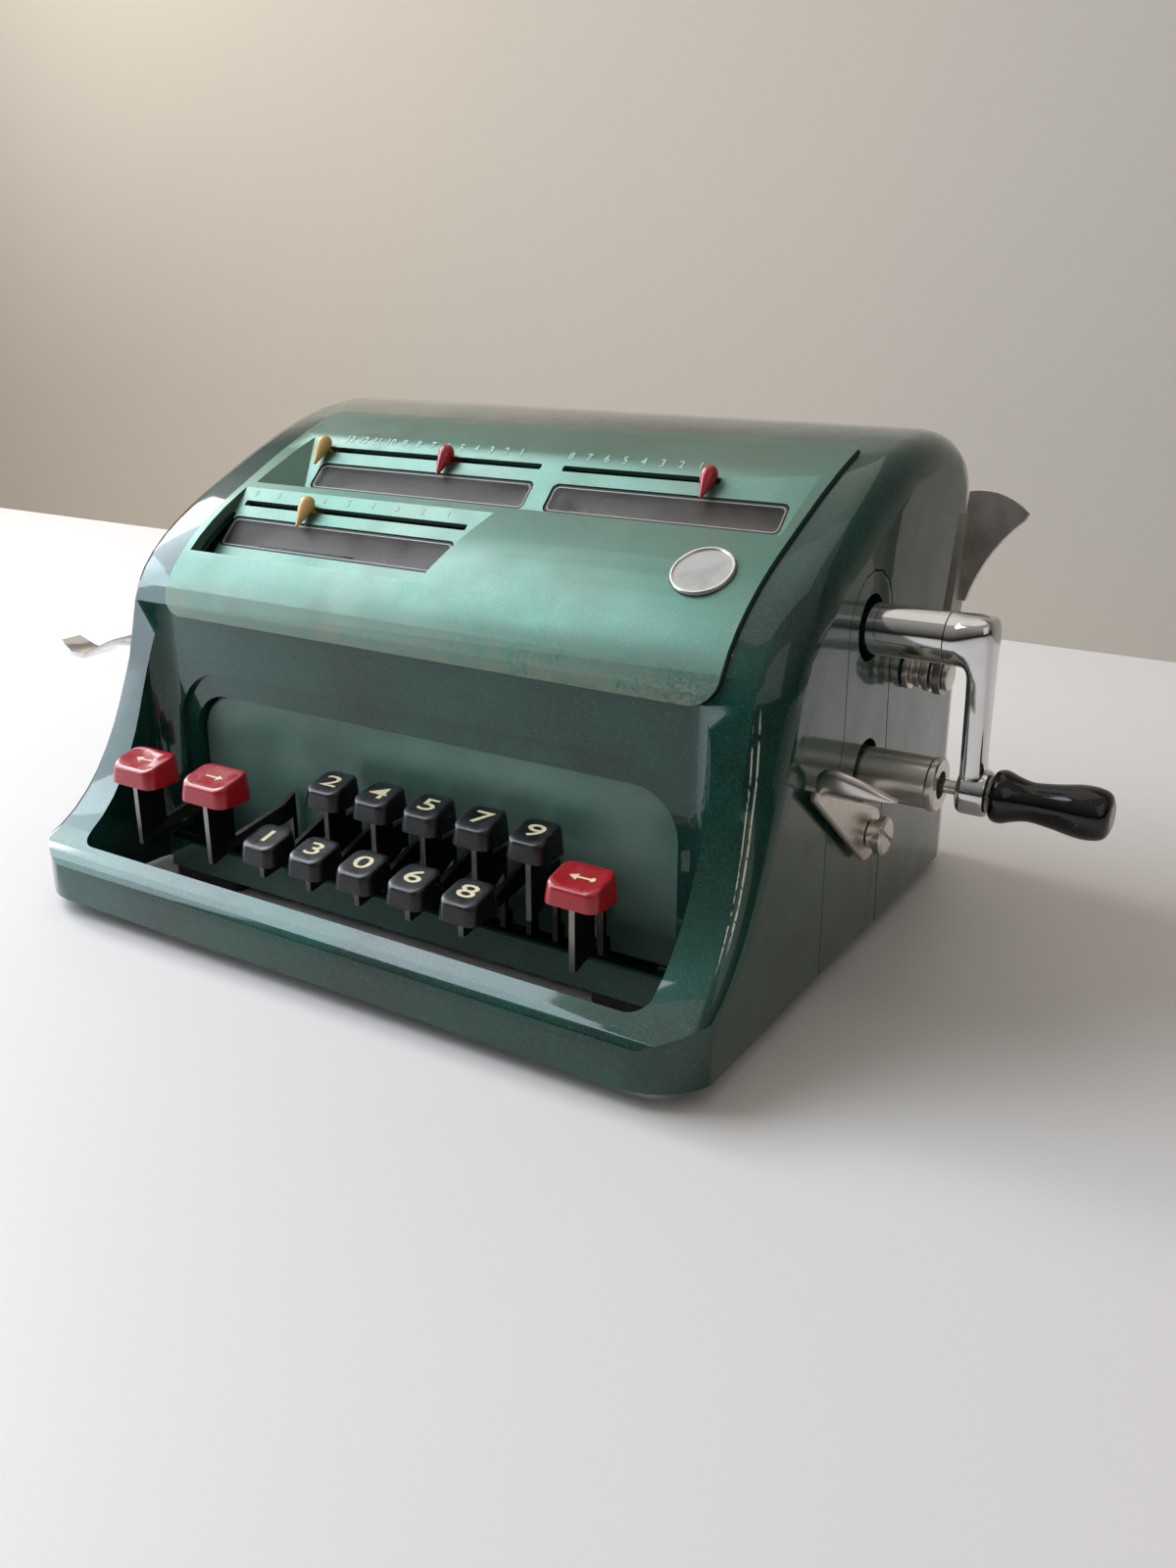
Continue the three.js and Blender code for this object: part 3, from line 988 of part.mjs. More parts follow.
// The origin goes to the middle of the footprint, on the table
const box = new THREE.Box3().setFromObject(model);
model.position.set(-(box.min.x + box.max.x) / 2, -(box.min.y + box.max.y) / 2, -box.min.z);
const calculator = new THREE.Group();
calculator.add(model);
calculator.updateMatrixWorld(true);

export default calculator;
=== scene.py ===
"""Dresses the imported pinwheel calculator: finishes, key tops, legends, scales, crank and light.

Lengths in the classes are millimetres on the machine's own centre plane, as in the part's source:
x = 0 is the middle of the top cover, y = 0 the front bar and z = 0 the table.
"""

from __future__ import annotations

import json
import logging
import math
from dataclasses import dataclass
from enum import Enum
from typing import Callable, Iterable, Sequence

import bmesh
import bpy
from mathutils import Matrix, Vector

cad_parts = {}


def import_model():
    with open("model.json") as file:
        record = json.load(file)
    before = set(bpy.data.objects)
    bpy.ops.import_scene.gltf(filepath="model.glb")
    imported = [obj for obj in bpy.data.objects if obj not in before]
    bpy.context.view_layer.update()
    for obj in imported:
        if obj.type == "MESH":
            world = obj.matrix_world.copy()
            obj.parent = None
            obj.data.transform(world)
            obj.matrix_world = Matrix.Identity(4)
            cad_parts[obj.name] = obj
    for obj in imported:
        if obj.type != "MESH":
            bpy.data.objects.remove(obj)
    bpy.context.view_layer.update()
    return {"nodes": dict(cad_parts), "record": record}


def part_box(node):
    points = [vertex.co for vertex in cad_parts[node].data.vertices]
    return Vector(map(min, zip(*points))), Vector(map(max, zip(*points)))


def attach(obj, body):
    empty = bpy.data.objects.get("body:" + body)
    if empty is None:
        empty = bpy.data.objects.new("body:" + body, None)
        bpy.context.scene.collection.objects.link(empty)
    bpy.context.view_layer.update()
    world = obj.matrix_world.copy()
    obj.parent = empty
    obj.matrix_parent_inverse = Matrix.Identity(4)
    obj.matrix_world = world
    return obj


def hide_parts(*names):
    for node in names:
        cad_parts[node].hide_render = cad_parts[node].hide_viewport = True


LOG = logging.getLogger("calculator")

MM = 0.001
ORIGIN = Vector((17.0, 100.5, 0.0))  # middle of the footprint, on the machine's own centre plane
SAME_PLACE = 1e-6  # corners of a node that lie this close, in metres, are one corner
SAME_MM = 1e-4  # the same for flat meshes, in mm
FRONT = -0.2  # a face whose normal has a y below this one looks to the front

Point = tuple[float, float, float]
Pair = tuple[float, float]
Inputs = dict[str | int, object]
Tree, Node, Socket = bpy.types.NodeTree, bpy.types.Node, bpy.types.NodeSocket
Mesh, Object, Material = bpy.types.Mesh, bpy.types.Object, bpy.types.Material
MATH, MIX, RANGE = "ShaderNodeMath", "ShaderNodeMix", "ShaderNodeMapRange"


# Frame and units


def row(x: float, y: float, z: float) -> Vector:
    """Turns a point on the machine's centre plane, in mm, into the shared frame, in metres."""
    return (Vector((x, y, z)) - ORIGIN) * MM


def linear(hex_colour: str) -> tuple[float, float, float, float]:
    """Turns an sRGB hex colour into linear values.

    Args:
        hex_colour: Colour such as "#12382f".

    Returns:
        Linear red, green and blue, and an alpha of 1.
    """
    channels = [int(hex_colour[i : i + 2], 16) / 255 for i in (1, 3, 5)]
    red, green, blue = (c / 12.92 if c <= 0.04045 else ((c + 0.055) / 1.055) ** 2.4 for c in channels)
    return (red, green, blue, 1.0)


def around(steps: int) -> list[float]:
    """Lists angles evenly spaced round a full turn."""
    return [i / steps * math.tau for i in range(steps)]


def squared(value: float, power: float) -> float:
    """Raises a value's size to a power and keeps its sign."""
    return math.copysign(abs(value) ** power, value)


def placed(name: str, data: bpy.types.ID) -> Object:
    """Makes an object and puts it into the scene.

    Args:
        name: Name of the object.
        data: Its mesh, lamp, camera or type.

    Returns:
        The object.
    """
    made = bpy.data.objects.new(name, data)
    bpy.context.scene.collection.objects.link(made)
    return made


# Materials under way


def fill(tree: Tree, node: Node, inputs: Inputs) -> None:
    """Fills or links a node's inputs.

    Args:
        tree: Node tree of the node.
        node: The node.
        inputs: Input's name or index to a plain value, a socket, or a node whose first output in use it takes.
    """
    for key, value in inputs.items():
        if isinstance(value, Node):
            value = next(output for output in value.outputs if output.enabled)
        if isinstance(value, Socket):
            tree.links.new(value, node.inputs[key])
        else:
            node.inputs[key].default_value = value


def add_node(tree: Tree, kind: str, inputs: Inputs | None = None, **settings: object) -> Node:
    """Adds a node, sets its properties and fills or links its inputs.

    Args:
        tree: Node tree that takes the node.
        kind: Blender's type name of the node.
        inputs: What its inputs take, as in fill.
        settings: Properties of the node.

    Returns:
        The new node.
    """
    node = tree.nodes.new(kind)
    for key, value in settings.items():
        setattr(node, key, value)
    fill(tree, node, inputs or {})
    return node


class Spread(Enum):
    """How a pattern lies on a surface: its scale along x, y and z."""

    EVEN = (1.0, 1.0, 1.0)
    ALONG_X = (0.06, 1.0, 1.0)
    ALONG_Z = (1.0, 1.0, 0.08)


@dataclass(frozen=True)
class Pattern:
    """A soft random pattern over a surface."""

    size_mm: float  # size of its blotches
    detail: float = 3.0  # finer steps on top
    low: float = 0.35  # noise value that becomes 0
    high: float = 0.65  # noise value that becomes the full share
    spread: Spread = Spread.EVEN


class Coating:
    """A material under way: its shader and the patterns that are laid over it."""

    def __init__(self, name: str) -> None:
        """Starts the material with a bare shader.

        Args:
            name: Name of the material.
        """
        self.material = bpy.data.materials.new(name)
        self.material.use_nodes = True
        self.tree = self.material.node_tree
        self.tree.nodes.clear()
        self.shader = self.add("ShaderNodeBsdfPrincipled")
        self.add("ShaderNodeOutputMaterial", {"Surface": self.shader})

    def add(self, kind: str, inputs: Inputs | None = None, **settings: object) -> Node:
        """Adds a node to the material, as add_node does."""
        return add_node(self.tree, kind, inputs, **settings)

    def give(self, inputs: Inputs) -> None:
        """Fills or links inputs of the shader."""
        fill(self.tree, self.shader, inputs)

    def place(self, spread: Spread = Spread.EVEN) -> Socket | Node:
        """Gives the surface point in metres, squeezed along one axis where a pattern runs along it.

        Args:
            spread: Direction that the pattern is drawn out along.

        Returns:
            The point.
        """
        point = self.add("ShaderNodeTexCoord").outputs["Object"]
        if spread is Spread.EVEN:
            return point
        return self.add("ShaderNodeVectorMath", {0: point, 1: spread.value}, operation="MULTIPLY")

    def noise(self, pattern: Pattern, share: float = 1.0) -> Node:
        """Gives a soft random share of the surface.

        Args:
            pattern: How it is spread.
            share: The full share.

        Returns:
            The share, from 0 to the full one.
        """
        value = self.add("ShaderNodeTexNoise", {
            "Vector": self.place(pattern.spread), "Scale": 1 / (pattern.size_mm * MM), "Detail": pattern.detail,
        })
        return self.add(RANGE, {0: value, 1: pattern.low, 2: pattern.high, 4: share})

    def chain(self, operation: str, *shares: Socket | Node | float) -> Node:
        """Joins shares one after another.

        Args:
            operation: MULTIPLY where all of them have to lie, MAXIMUM where one is enough, or another of Blender's.
            shares: The shares.

        Returns:
            The joined share.
        """
        joined = shares[0]
        for share in shares[1:]:
            joined = self.add(MATH, {0: joined, 1: share}, operation=operation)
        return joined

    def facing_rear(self) -> Socket:
        """Gives how far the surface faces the rear, from -1 to 1."""
        normal = self.add("ShaderNodeNewGeometry").outputs["Normal"]
        return self.add("ShaderNodeSeparateXYZ", {0: normal}).outputs["Y"]

    def colour(self, base: str, *layers: tuple[Node, str]) -> None:
        """Colours the shader.

        Args:
            base: Hex colour that lies lowest.
            layers: Share and hex colour of each layer over it, from the lowest up.
        """
        shown: object = linear(base)
        for share, layer in layers:
            shown = self.add(MIX, {0: share, 6: shown, 7: linear(layer)}, data_type="RGBA")
        self.give({"Base Color": shown})

    def gloss(self, share: Node, roughness: float, swing: Pair) -> Node:
        """Makes the shader's roughness uneven.

        Args:
            share: Pattern from 0 to 1.
            roughness: The finish's own roughness.
            swing: What is added to it at 0 and at 1.

        Returns:
            The roughness.
        """
        rough = self.add(RANGE, {0: share, 3: roughness + swing[0], 4: roughness + swing[1]})
        self.give({"Roughness": rough})
        return rough

    def relief(self, height: Node, depth_mm: float) -> None:
        """Lifts the surface by a height pattern of the given depth."""
        bump = self.add("ShaderNodeBump", {"Height": height, "Distance": depth_mm * MM, "Strength": 1.0})
        self.give({"Normal": bump})


# Finishes


@dataclass(frozen=True)
class WornLine:
    """A crease where the paint is rubbed through, given as x against height."""

    x_low: float
    x_high: float
    z_low: float
    z_high: float
    width: float
    share: float
    fade: float = 6.0  # length over which it ends
    wander: float = 0.2  # how far it strays sideways
    strays: Pattern = Pattern(30, 1, 0.3, 0.7)
    stroke_mm: float = 0.7
    patch_mm: float = 7.0


@dataclass(frozen=True)
class Finish:
    """Base of every finish: a named Principled material with its colour and gloss."""

    name: str
    colour: str
    roughness: float = 0.4
    metallic: float = 0.0

    def build(self) -> Material:
        """Makes the material.

        Returns:
            The material.
        """
        on = Coating(self.name)
        on.give({"Base Color": linear(self.colour), "Roughness": self.roughness, "Metallic": self.metallic})
        self.dress(on)
        return on.material

    def dress(self, on: Coating) -> None:
        """Adds the finish's own pattern; the base finish has none."""


@dataclass(frozen=True)
class FlakeEnamel(Finish):
    """Sprayed stove enamel with metal flake: a deep colour under a clear gloss, glinting in specks."""

    flake: str = "#2f6d5c"
    flake_mm: float = 0.3  # real flake is about 0.05 mm, drawn as coarse as it needs to show
    flake_share: float = 0.3
    flake_strength: float = 0.4
    shade: str = "#0a2c26"
    shades: Pattern = Pattern(30, 4)
    coat: float = 1.0
    coat_roughness: float = 0.05
    coat_ior: float = 1.5
    under_gloss: float = 0.5  # gloss of the colour coat itself, weak where a clear coat lies on it
    gloss_patches: Pattern = Pattern(14, 5)
    gloss_swing: Pair = (-0.05, 0.07)
    orange_peel: Pattern = Pattern(9, 2)
    orange_peel_depth: float = 0.005
    dust: str = "#a3a69a"
    specks: Pattern = Pattern(0.8, 3, 0.72, 0.77)
    speck_share: float = 0.25
    film: Pattern = Pattern(60, 3, 0.4, 0.7)
    film_share: float = 0.02
    worn: str = "#d3d6ca"
    worn_lines: tuple[WornLine, ...] = ()
    grime: str = "#8a8373"
    grime_grains: Pattern = Pattern(1.1, 4, 0.4, 0.62)
    grime_clouds: Pattern = Pattern(9, 5, 0.42, 0.7)
    grime_share: float = 0.9
    grime_dulls: float = 0.4  # how much grime adds to the roughness
    grime_band: Pair | None = None  # heights between which grime fades out
    settled: str = "#66655c"
    settled_clouds: Pattern = Pattern(25, 4, 0.2, 0.6)
    settled_share: float = 0.5
    settled_band: Pair = (138, 150)  # heights between which settled dust sets in

    def worn_mask(self, on: Coating, line: WornLine) -> Node:
        """Finds where a crease is rubbed through, broken up along its length.

        Args:
            on: The material.
            line: The crease.

        Returns:
            1 on the bare places, 0 elsewhere.
        """
        x, _, z = on.add("ShaderNodeSeparateXYZ", {0: on.place()}).outputs
        low, high = row(line.x_low, 0, line.z_low), row(line.x_high, 0, line.z_high)
        fade, wander = line.fade * MM, line.wander * MM
        course = on.add(RANGE, {0: z, 1: low.z, 2: high.z, 3: low.x, 4: high.x})
        strays = on.add(RANGE, {0: on.noise(line.strays), 3: -wander, 4: wander})
        off = on.add(MATH, {0: on.chain("SUBTRACT", x, course, strays)}, operation="ABSOLUTE")
        near = on.add(RANGE, {0: off, 1: line.width * MM * 0.5, 2: line.width * MM * 0.25})
        ends = [on.add(RANGE, {0: z, 1: a, 2: b}) for a, b in ((low.z, low.z + fade), (high.z, high.z - fade))]
        strokes = on.noise(Pattern(line.stroke_mm, 4, line.share - 0.08, line.share + 0.02, Spread.ALONG_Z))
        patches = on.noise(Pattern(line.patch_mm, 3, line.share - 0.12, line.share - 0.04))
        front = on.add(MATH, {0: on.facing_rear(), 1: FRONT}, operation="LESS_THAN")
        return on.chain("MULTIPLY", near, *ends, strokes, patches, front)

    def dress(self, on: Coating) -> None:
        """Adds flake, cloudy depth, dust, grime and rubbed creases.

        Args:
            on: The material.
        """
        cells = on.add("ShaderNodeTexVoronoi", {"Vector": on.place(), "Scale": 1 / (self.flake_mm * MM)})
        glint = on.add("ShaderNodeSeparateColor", {0: cells.outputs["Color"]})
        glint = on.add(RANGE, {0: glint, 1: 1 - self.flake_share, 4: self.flake_strength})
        dust = on.chain("MAXIMUM", on.noise(self.specks, self.speck_share), on.noise(self.film, self.film_share))
        layers = [(on.noise(self.shades), self.shade), (glint, self.flake), (dust, self.dust)]
        rough = on.gloss(on.noise(self.gloss_patches), self.roughness, self.gloss_swing)
        if self.grime_band:
            height = on.add("ShaderNodeSeparateXYZ", {0: on.place()}).outputs["Z"]
            low, high = (z * MM for z in self.grime_band)
            near = on.add(RANGE, {0: height, 1: high, 2: low, 4: self.grime_share})
            grain = on.chain("MAXIMUM", on.noise(self.grime_grains), on.noise(self.grime_clouds))
            grime = on.chain("MULTIPLY", grain, near)
            low, high = (z * MM for z in self.settled_band)
            upper = on.add(RANGE, {0: height, 1: low, 2: high, 4: self.settled_share})
            settled = on.chain("MULTIPLY", upper, on.noise(self.settled_clouds))
            layers += [(grime, self.grime), (settled, self.settled)]
            on.give({"Roughness": on.add(MATH, {0: grime, 1: self.grime_dulls, 2: rough}, operation="MULTIPLY_ADD")})
        if self.worn_lines:
            bare = on.chain("MAXIMUM", *[self.worn_mask(on, line) for line in self.worn_lines])
            layers.append((bare, self.worn))
        on.colour(self.colour, *layers)
        on.give({"Specular IOR Level": self.under_gloss, "Coat Weight": self.coat,
                 "Coat Roughness": self.coat_roughness, "Coat IOR": self.coat_ior})
        on.relief(on.noise(self.orange_peel), self.orange_peel_depth)


@dataclass(frozen=True)
class MouldedPlastic(Finish):
    """Moulded plastic, polished by fingers: an even colour with a soft variation in its gloss."""

    rubbed: str = "#2a2a2c"
    rubs: Pattern = Pattern(7, 5, 0.45, 0.75)
    rubbed_share: float = 0.3
    dust: str = "#9a958b"
    specks: Pattern = Pattern(0.9, 3, 0.68, 0.74)
    speck_share: float = 0.35
    gloss_patches: Pattern = Pattern(5, 5)
    gloss_swing: Pair = (-0.05, 0.1)
    coat: float = 0.0
    dents: Pattern = Pattern(3, 2)
    dent_depth: float = 0.006

    def dress(self, on: Coating) -> None:
        """Adds finger polish, faint wear and dust specks.

        Args:
            on: The material.
        """
        on.colour(self.colour, (on.noise(self.rubs, self.rubbed_share), self.rubbed),
                  (on.noise(self.specks, self.speck_share), self.dust))
        on.gloss(on.noise(self.gloss_patches), self.roughness, self.gloss_swing)
        on.give({"Coat Weight": self.coat})
        on.relief(on.noise(self.dents), self.dent_depth)


@dataclass(frozen=True)
class PlatedMetal(Finish):
    """Plated or bare steel: bright, with fine rubbing marks and spots where it has tarnished."""

    tarnish: str = "#6b6157"
    tarnish_share: float = 0.2
    spots: Pattern = Pattern(9, 5, 0.5, 0.75)
    marks: Pattern = Pattern(0.9)
    gloss_swing: float = 0.1  # as a share of the roughness

    def dress(self, on: Coating) -> None:
        """Adds tarnish, rubbing marks and uneven gloss.

        Args:
            on: The material.
        """
        on.colour(self.colour, (on.noise(self.spots, self.tarnish_share), self.tarnish))
        swing = self.roughness * self.gloss_swing
        on.gloss(on.noise(self.marks), self.roughness, (-swing, swing))


@dataclass(frozen=True)
class BlackenedSteel(Finish):
    """Blackened sheet steel whose sheared front edges have rubbed bright."""

    rubbed: str = "#4c453e"
    rubbed_share: float = 0.2
    rubs: Pattern = Pattern(5, 5, 0.5, 0.75)
    gloss_patches: Pattern = Pattern(3, 4)
    gloss_swing: Pair = (-0.08, 0.1)
    edge: str = "#a5a39b"
    edge_share: float = 0.85
    edge_band: Pair = (-0.8, -0.95)  # y of a normal between which a face comes to count as a front edge
    chips: Pattern = Pattern(4, 4, 0.3, 0.45, Spread.ALONG_Z)

    def dress(self, on: Coating) -> None:
        """Brightens the faces that look straight to the front and adds rubbed spots.

        Args:
            on: The material.
        """
        front = on.add(RANGE, {0: on.facing_rear(), 1: self.edge_band[0], 2: self.edge_band[1], 4: self.edge_share})
        edge = on.chain("MULTIPLY", front, on.noise(self.chips))
        on.colour(self.colour, (on.noise(self.rubs, self.rubbed_share), self.rubbed), (edge, self.edge))
        on.gloss(on.noise(self.gloss_patches), self.roughness, self.gloss_swing)


@dataclass(frozen=True)
class DustyPane(Finish):
    """Clear sheet that decades of dust have greyed: see-through, with a cloudy film and scratches."""

    clear: float = 0.1
    cloudy: float = 0.26
    clouds: Pattern = Pattern(16, 6, 0.35, 0.75)
    scratches: Pattern = Pattern(1.2, 4, 0.62, 0.7, Spread.ALONG_X)
    scratch_share: float = 0.5
    gloss_swing: Pair = (0.0, 0.25)

    def dress(self, on: Coating) -> None:
        """Makes the film uneven, thicker in clouds and along fine scratches.

        Args:
            on: The material.
        """
        share = on.chain("MAXIMUM", on.noise(self.clouds), on.noise(self.scratches, self.scratch_share))
        on.give({"Alpha": on.add(RANGE, {0: share, 3: self.clear, 4: self.cloudy})})
        on.gloss(share, self.roughness, self.gloss_swing)


@dataclass(frozen=True)
class Paint(Finish):
    """Filled engraving, matt paint or rubber: flat, slightly rubbed."""

    rubbed: str = "#8f8672"
    rubbed_share: float = 0.25
    rubs: Pattern = Pattern(1.2, 4, 0.4, 0.75)
    grain: Pattern = Pattern(0.8)
    grain_depth: float = 0.01

    def dress(self, on: Coating) -> None:
        """Adds rubbed patches and a little grain.

        Args:
            on: The material.
        """
        on.colour(self.colour, (on.noise(self.rubs, self.rubbed_share), self.rubbed))
        on.relief(on.noise(self.grain), self.grain_depth)


class Slot(Enum):
    """The record's material slots that new pieces take their finish from."""

    BLACK = "black_plastic"
    RED = "red_plastic"
    CHROME = "bright_chrome"
    STEEL = "worn_steel"


# creases of the side rails where hands have rubbed the enamel through: two on the right, two on the left
RAIL_CREASES = (
    WornLine(115.9, 111.4, 34, 92, 0.5, 0.42),
    WornLine(115.1, 110.4, 30, 88, 0.4, 0.46),
    WornLine(-120.6, -115.6, 40, 96, 0.5, 0.52),
    WornLine(-117.4, -114.4, 62, 86, 0.4, 0.52),
)

FINISHES: dict[str, Finish] = {
    # stove enamel over cast metal: deep green under a clear gloss that mirrors the crank
    "casing_enamel": FlakeEnamel("stove_enamel_dark_green", "#0c4237", 0.35, 0.3, under_gloss=0.1,
                                 worn_lines=RAIL_CREASES),
    # metallic enamel: silky, with a broad soft highlight, dusty above and grimy along its lower edge
    "cover_enamel": FlakeEnamel("metallic_enamel_light_green", "#527a6b", 0.39, 0.6, flake="#6b9383",
                                shade="#4a7162", coat=0.2, coat_roughness=0.2, speck_share=0.1, film_share=0.25,
                                grime_band=(86, 104)),
    # satin enamel on sheet steel: grey green, with a dull soft sheen
    "panel_enamel": FlakeEnamel("satin_enamel_grey_green", "#61857a", 0.38, 0.4, flake="#789b8e", shade="#587a6f",
                                coat=0.2, coat_roughness=0.25, speck_share=0.2, film_share=0.2),
    # moulded rubber: dull, greyed by dust
    "foot_rubber": Paint("black_rubber", "#171717", 0.8, rubbed="#3b3936"),
    # thin clear sheet, greyed by decades of dust
    "window_glass": DustyPane("dusty_clear_sheet", "#7d766c", 0.12),
    # matt paint that has browned
    "dial_enamel": Paint("grey_dial_paint", "#6d635b", 0.6, rubbed="#544b45",
                         rubs=Pattern(9, 4, 0.4, 0.75)),
    # moulded urea plastics, polished by fingers: even colour, soft bright highlights
    "cream_plastic": MouldedPlastic("moulded_cream_plastic", "#dcb774", 0.25, rubbed="#b98f4e"),
    "red_plastic": MouldedPlastic("moulded_red_plastic", "#a81b26", 0.2, rubbed="#86131c", coat=0.3),
    "black_plastic": MouldedPlastic("satin_black_plastic", "#101012", 0.27),
    # blackened sheet steel with bright sheared edges
    "dark_steel": BlackenedSteel("blackened_steel", "#1e1c1b", 0.4, 0.7),
    # nickelled steel: bright, with a soft grain and brown spots
    "worn_steel": PlatedMetal("worn_nickelled_steel", "#dcd7d0", 0.3, 1.0, tarnish="#a89e90", tarnish_share=0.15,
                              marks=Pattern(1.2, spread=Spread.ALONG_X)),
    # chrome plate: mirror bright
    "bright_chrome": PlatedMetal("polished_chrome_plate", "#dcdcdd", 0.09, 1.0, tarnish="#8d8983",
                                 tarnish_share=0.12, marks=Pattern(3.0)),
    # turned brass, unpolished: warm yellow with brown spots
    "rotor_brass": PlatedMetal("turned_brass", "#b08a48", 0.3, 1.0, tarnish="#6d5426", tarnish_share=0.4),
}


class Palette:
    """Builds every finish once and hands it out by slot name."""

    def __init__(self, record: dict) -> None:
        """Builds the finishes and remembers which node takes which slot.

        Args:
            record: The part's record.
        """
        self.materials = {slot: finish.build() for slot, finish in FINISHES.items()}
        # cream filler in the engraved legends: pale, matt, rubbed in places
        self.legend = Paint("cream_legend_fill", "#e9dcb2", 0.45).build()
        # pale filler in the scales, half rubbed out
        self.scale = Paint("pale_scale_fill", "#a9cdbd", 0.4, rubbed="#5d8f7d", rubbed_share=0.5).build()
        # lacquered wood or plastic: deep black with sharp highlights
        self.grip = MouldedPlastic("lacquered_black_grip", "#0a0a0b", 0.06).build()
        # rubber strip: dull black, greyed in patches
        self.gasket = Paint("black_rubber_gasket", "#1b1a18", 0.6, rubbed="#34312d").build()
        # painted highlight: a pale band along the cut edge of the clear sheet, standing in for the light that the
        # edge catches
        self.painted_highlight_band = Paint("painted_pane_edge_highlight", "#a9a59b", 0.3, rubbed="#7d786d").build()
        # brushed aluminium that has gone dull
        self.badge = PlatedMetal("satin_aluminium_disc", "#b5b4ae", 0.5, 0.1, tarnish="#7d796f", tarnish_share=0.5,
                                 marks=Pattern(1.2)).build()
        # bare steel plate: softer and darker than the nickelled parts
        self.dull = PlatedMetal("dulled_steel_plate", "#b8b4ae", 0.34, 1.0, tarnish="#6d6862", tarnish_share=0.4,
                                marks=Pattern(4.0)).build()
        self.slots = {s["node"]: s["material_slot"] for s in record["subparts"]}

    def slot(self, slot: Slot) -> Material:
        """Gives the finish of a slot."""
        return self.materials[slot.value]

    def paint(self, target: Object, material: Material) -> None:
        """Puts one material on the whole of an object."""
        target.data.materials.clear()
        target.data.materials.append(material)

    def dress_nodes(self, nodes: dict[str, Object]) -> None:
        """Gives each node of the part its finish."""
        for name, node in nodes.items():
            self.paint(node, self.materials[self.slots[name]])


# Making and shading meshes


class Shading:
    """Modifiers that ease edges and shade curved faces smooth, keeping real edges sharp."""

    def __init__(self, degrees: float = 34.0) -> None:
        """Builds the smoothing modifier's node group.

        Args:
            degrees: Angle between two faces from which their edge is a real one.
        """
        self.sharp = math.radians(degrees)
        self.tree = tree = bpy.data.node_groups.new("smooth_shading", "GeometryNodeTree")
        for way in ("INPUT", "OUTPUT"):
            tree.interface.new_socket("Geometry", in_out=way, socket_type="NodeSocketGeometry")
        merged = add_node(tree, "GeometryNodeMergeByDistance",
                          {"Geometry": add_node(tree, "NodeGroupInput"), "Distance": SAME_PLACE})
        smooth = add_node(tree, "GeometryNodeSetShadeSmooth", {0: merged, "Shade Smooth": True}, domain="FACE")
        edge = add_node(tree, "GeometryNodeInputMeshEdgeAngle").outputs["Unsigned Angle"]
        sharp = add_node(tree, "FunctionNodeCompare", {0: edge, 1: self.sharp}, operation="GREATER_THAN")
        edges = add_node(tree, "GeometryNodeSetShadeSmooth",
                         {0: smooth, "Selection": sharp, "Shade Smooth": False}, domain="EDGE")
        add_node(tree, "NodeGroupOutput", {0: edges})

    def soften(self, target: Object, width_mm: float) -> None:
        """Rounds an object's sharp edges a little, so that they catch the light.

        Args:
            target: The object.
            width_mm: Width of the rounding.
        """
        target.modifiers.new("joined_corners", "WELD").merge_threshold = SAME_PLACE
        bevel = target.modifiers.new("eased_edges", "BEVEL")
        bevel.width = width_mm * MM
        bevel.segments = 2
        bevel.limit_method = "ANGLE"
        bevel.angle_limit = self.sharp
        bevel.use_clamp_overlap = True

    def put_on(self, target: Object) -> None:
        """Adds the smoothing modifiers to an object."""
        target.modifiers.new("smooth_shading", "NODES").node_group = self.tree
        target.modifiers.new("flat_faces_stay_flat", "WEIGHTED_NORMAL").keep_sharp = True


# width in mm that a node's edges are eased by; every other node's are barely broken
SOFT_EDGES = {"casing": 0.5, "top_cover": 0.6, "key_panel": 0.6, "side_strip": 0.25, "clearing_lever": 0.25,
              "left_lever": 0.3, "counter_lever_screw": 0.2, "stop_post": 0.2}
BARELY_BROKEN = 0.12


@dataclass
class Workshop:
    """What every sub-assembly needs to make its pieces."""

    palette: Palette
    shading: Shading
    nodes: dict[str, Object]

    def piece(self, name: str, mesh: Mesh, material: Material, body: str, slot: Slot | None = None,
              stands_for: Sequence[str] = ()) -> None:
        """Puts a mesh into the scene as a piece.

        Args:
            name: Name of the piece.
            mesh: Its mesh, in the shared frame.
            material: Its finish.
            body: Body that carries it.
            slot: The record's slot of its finish; not used.
            stands_for: Nodes that it replaces.
        """
        made = placed(name, mesh)
        self.palette.paint(made, material)
        self.shading.put_on(made)
        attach(made, body)
        if stands_for:
            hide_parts(*stands_for)
        LOG.info("%s rides on %s", name, body)


def finished(work: bmesh.types.BMesh, name: str) -> Mesh:
    """Turns all faces outwards and gives the finished mesh.

    Args:
        work: The mesh under way, which ends here.
        name: Name of the finished mesh.

    Returns:
        The finished mesh.
    """
    bmesh.ops.recalc_face_normals(work, faces=work.faces)
    mesh = bpy.data.meshes.new(name)
    work.to_mesh(mesh)
    work.free()
    return mesh


def mesh_from(name: str, vertices: Iterable[Vector], faces: Iterable[Sequence[int]]) -> Mesh:
    """Makes a mesh with outward faces.

    Args:
        name: Name of the mesh.
        vertices: Points in mm on the machine's centre plane.
        faces: Corners of each face.

    Returns:
        The mesh, in the shared frame.
    """
    work = bmesh.new()
    points = [work.verts.new(row(*v)) for v in vertices]
    for face in faces:
        work.faces.new([points[i] for i in face])
    return finished(work, name)


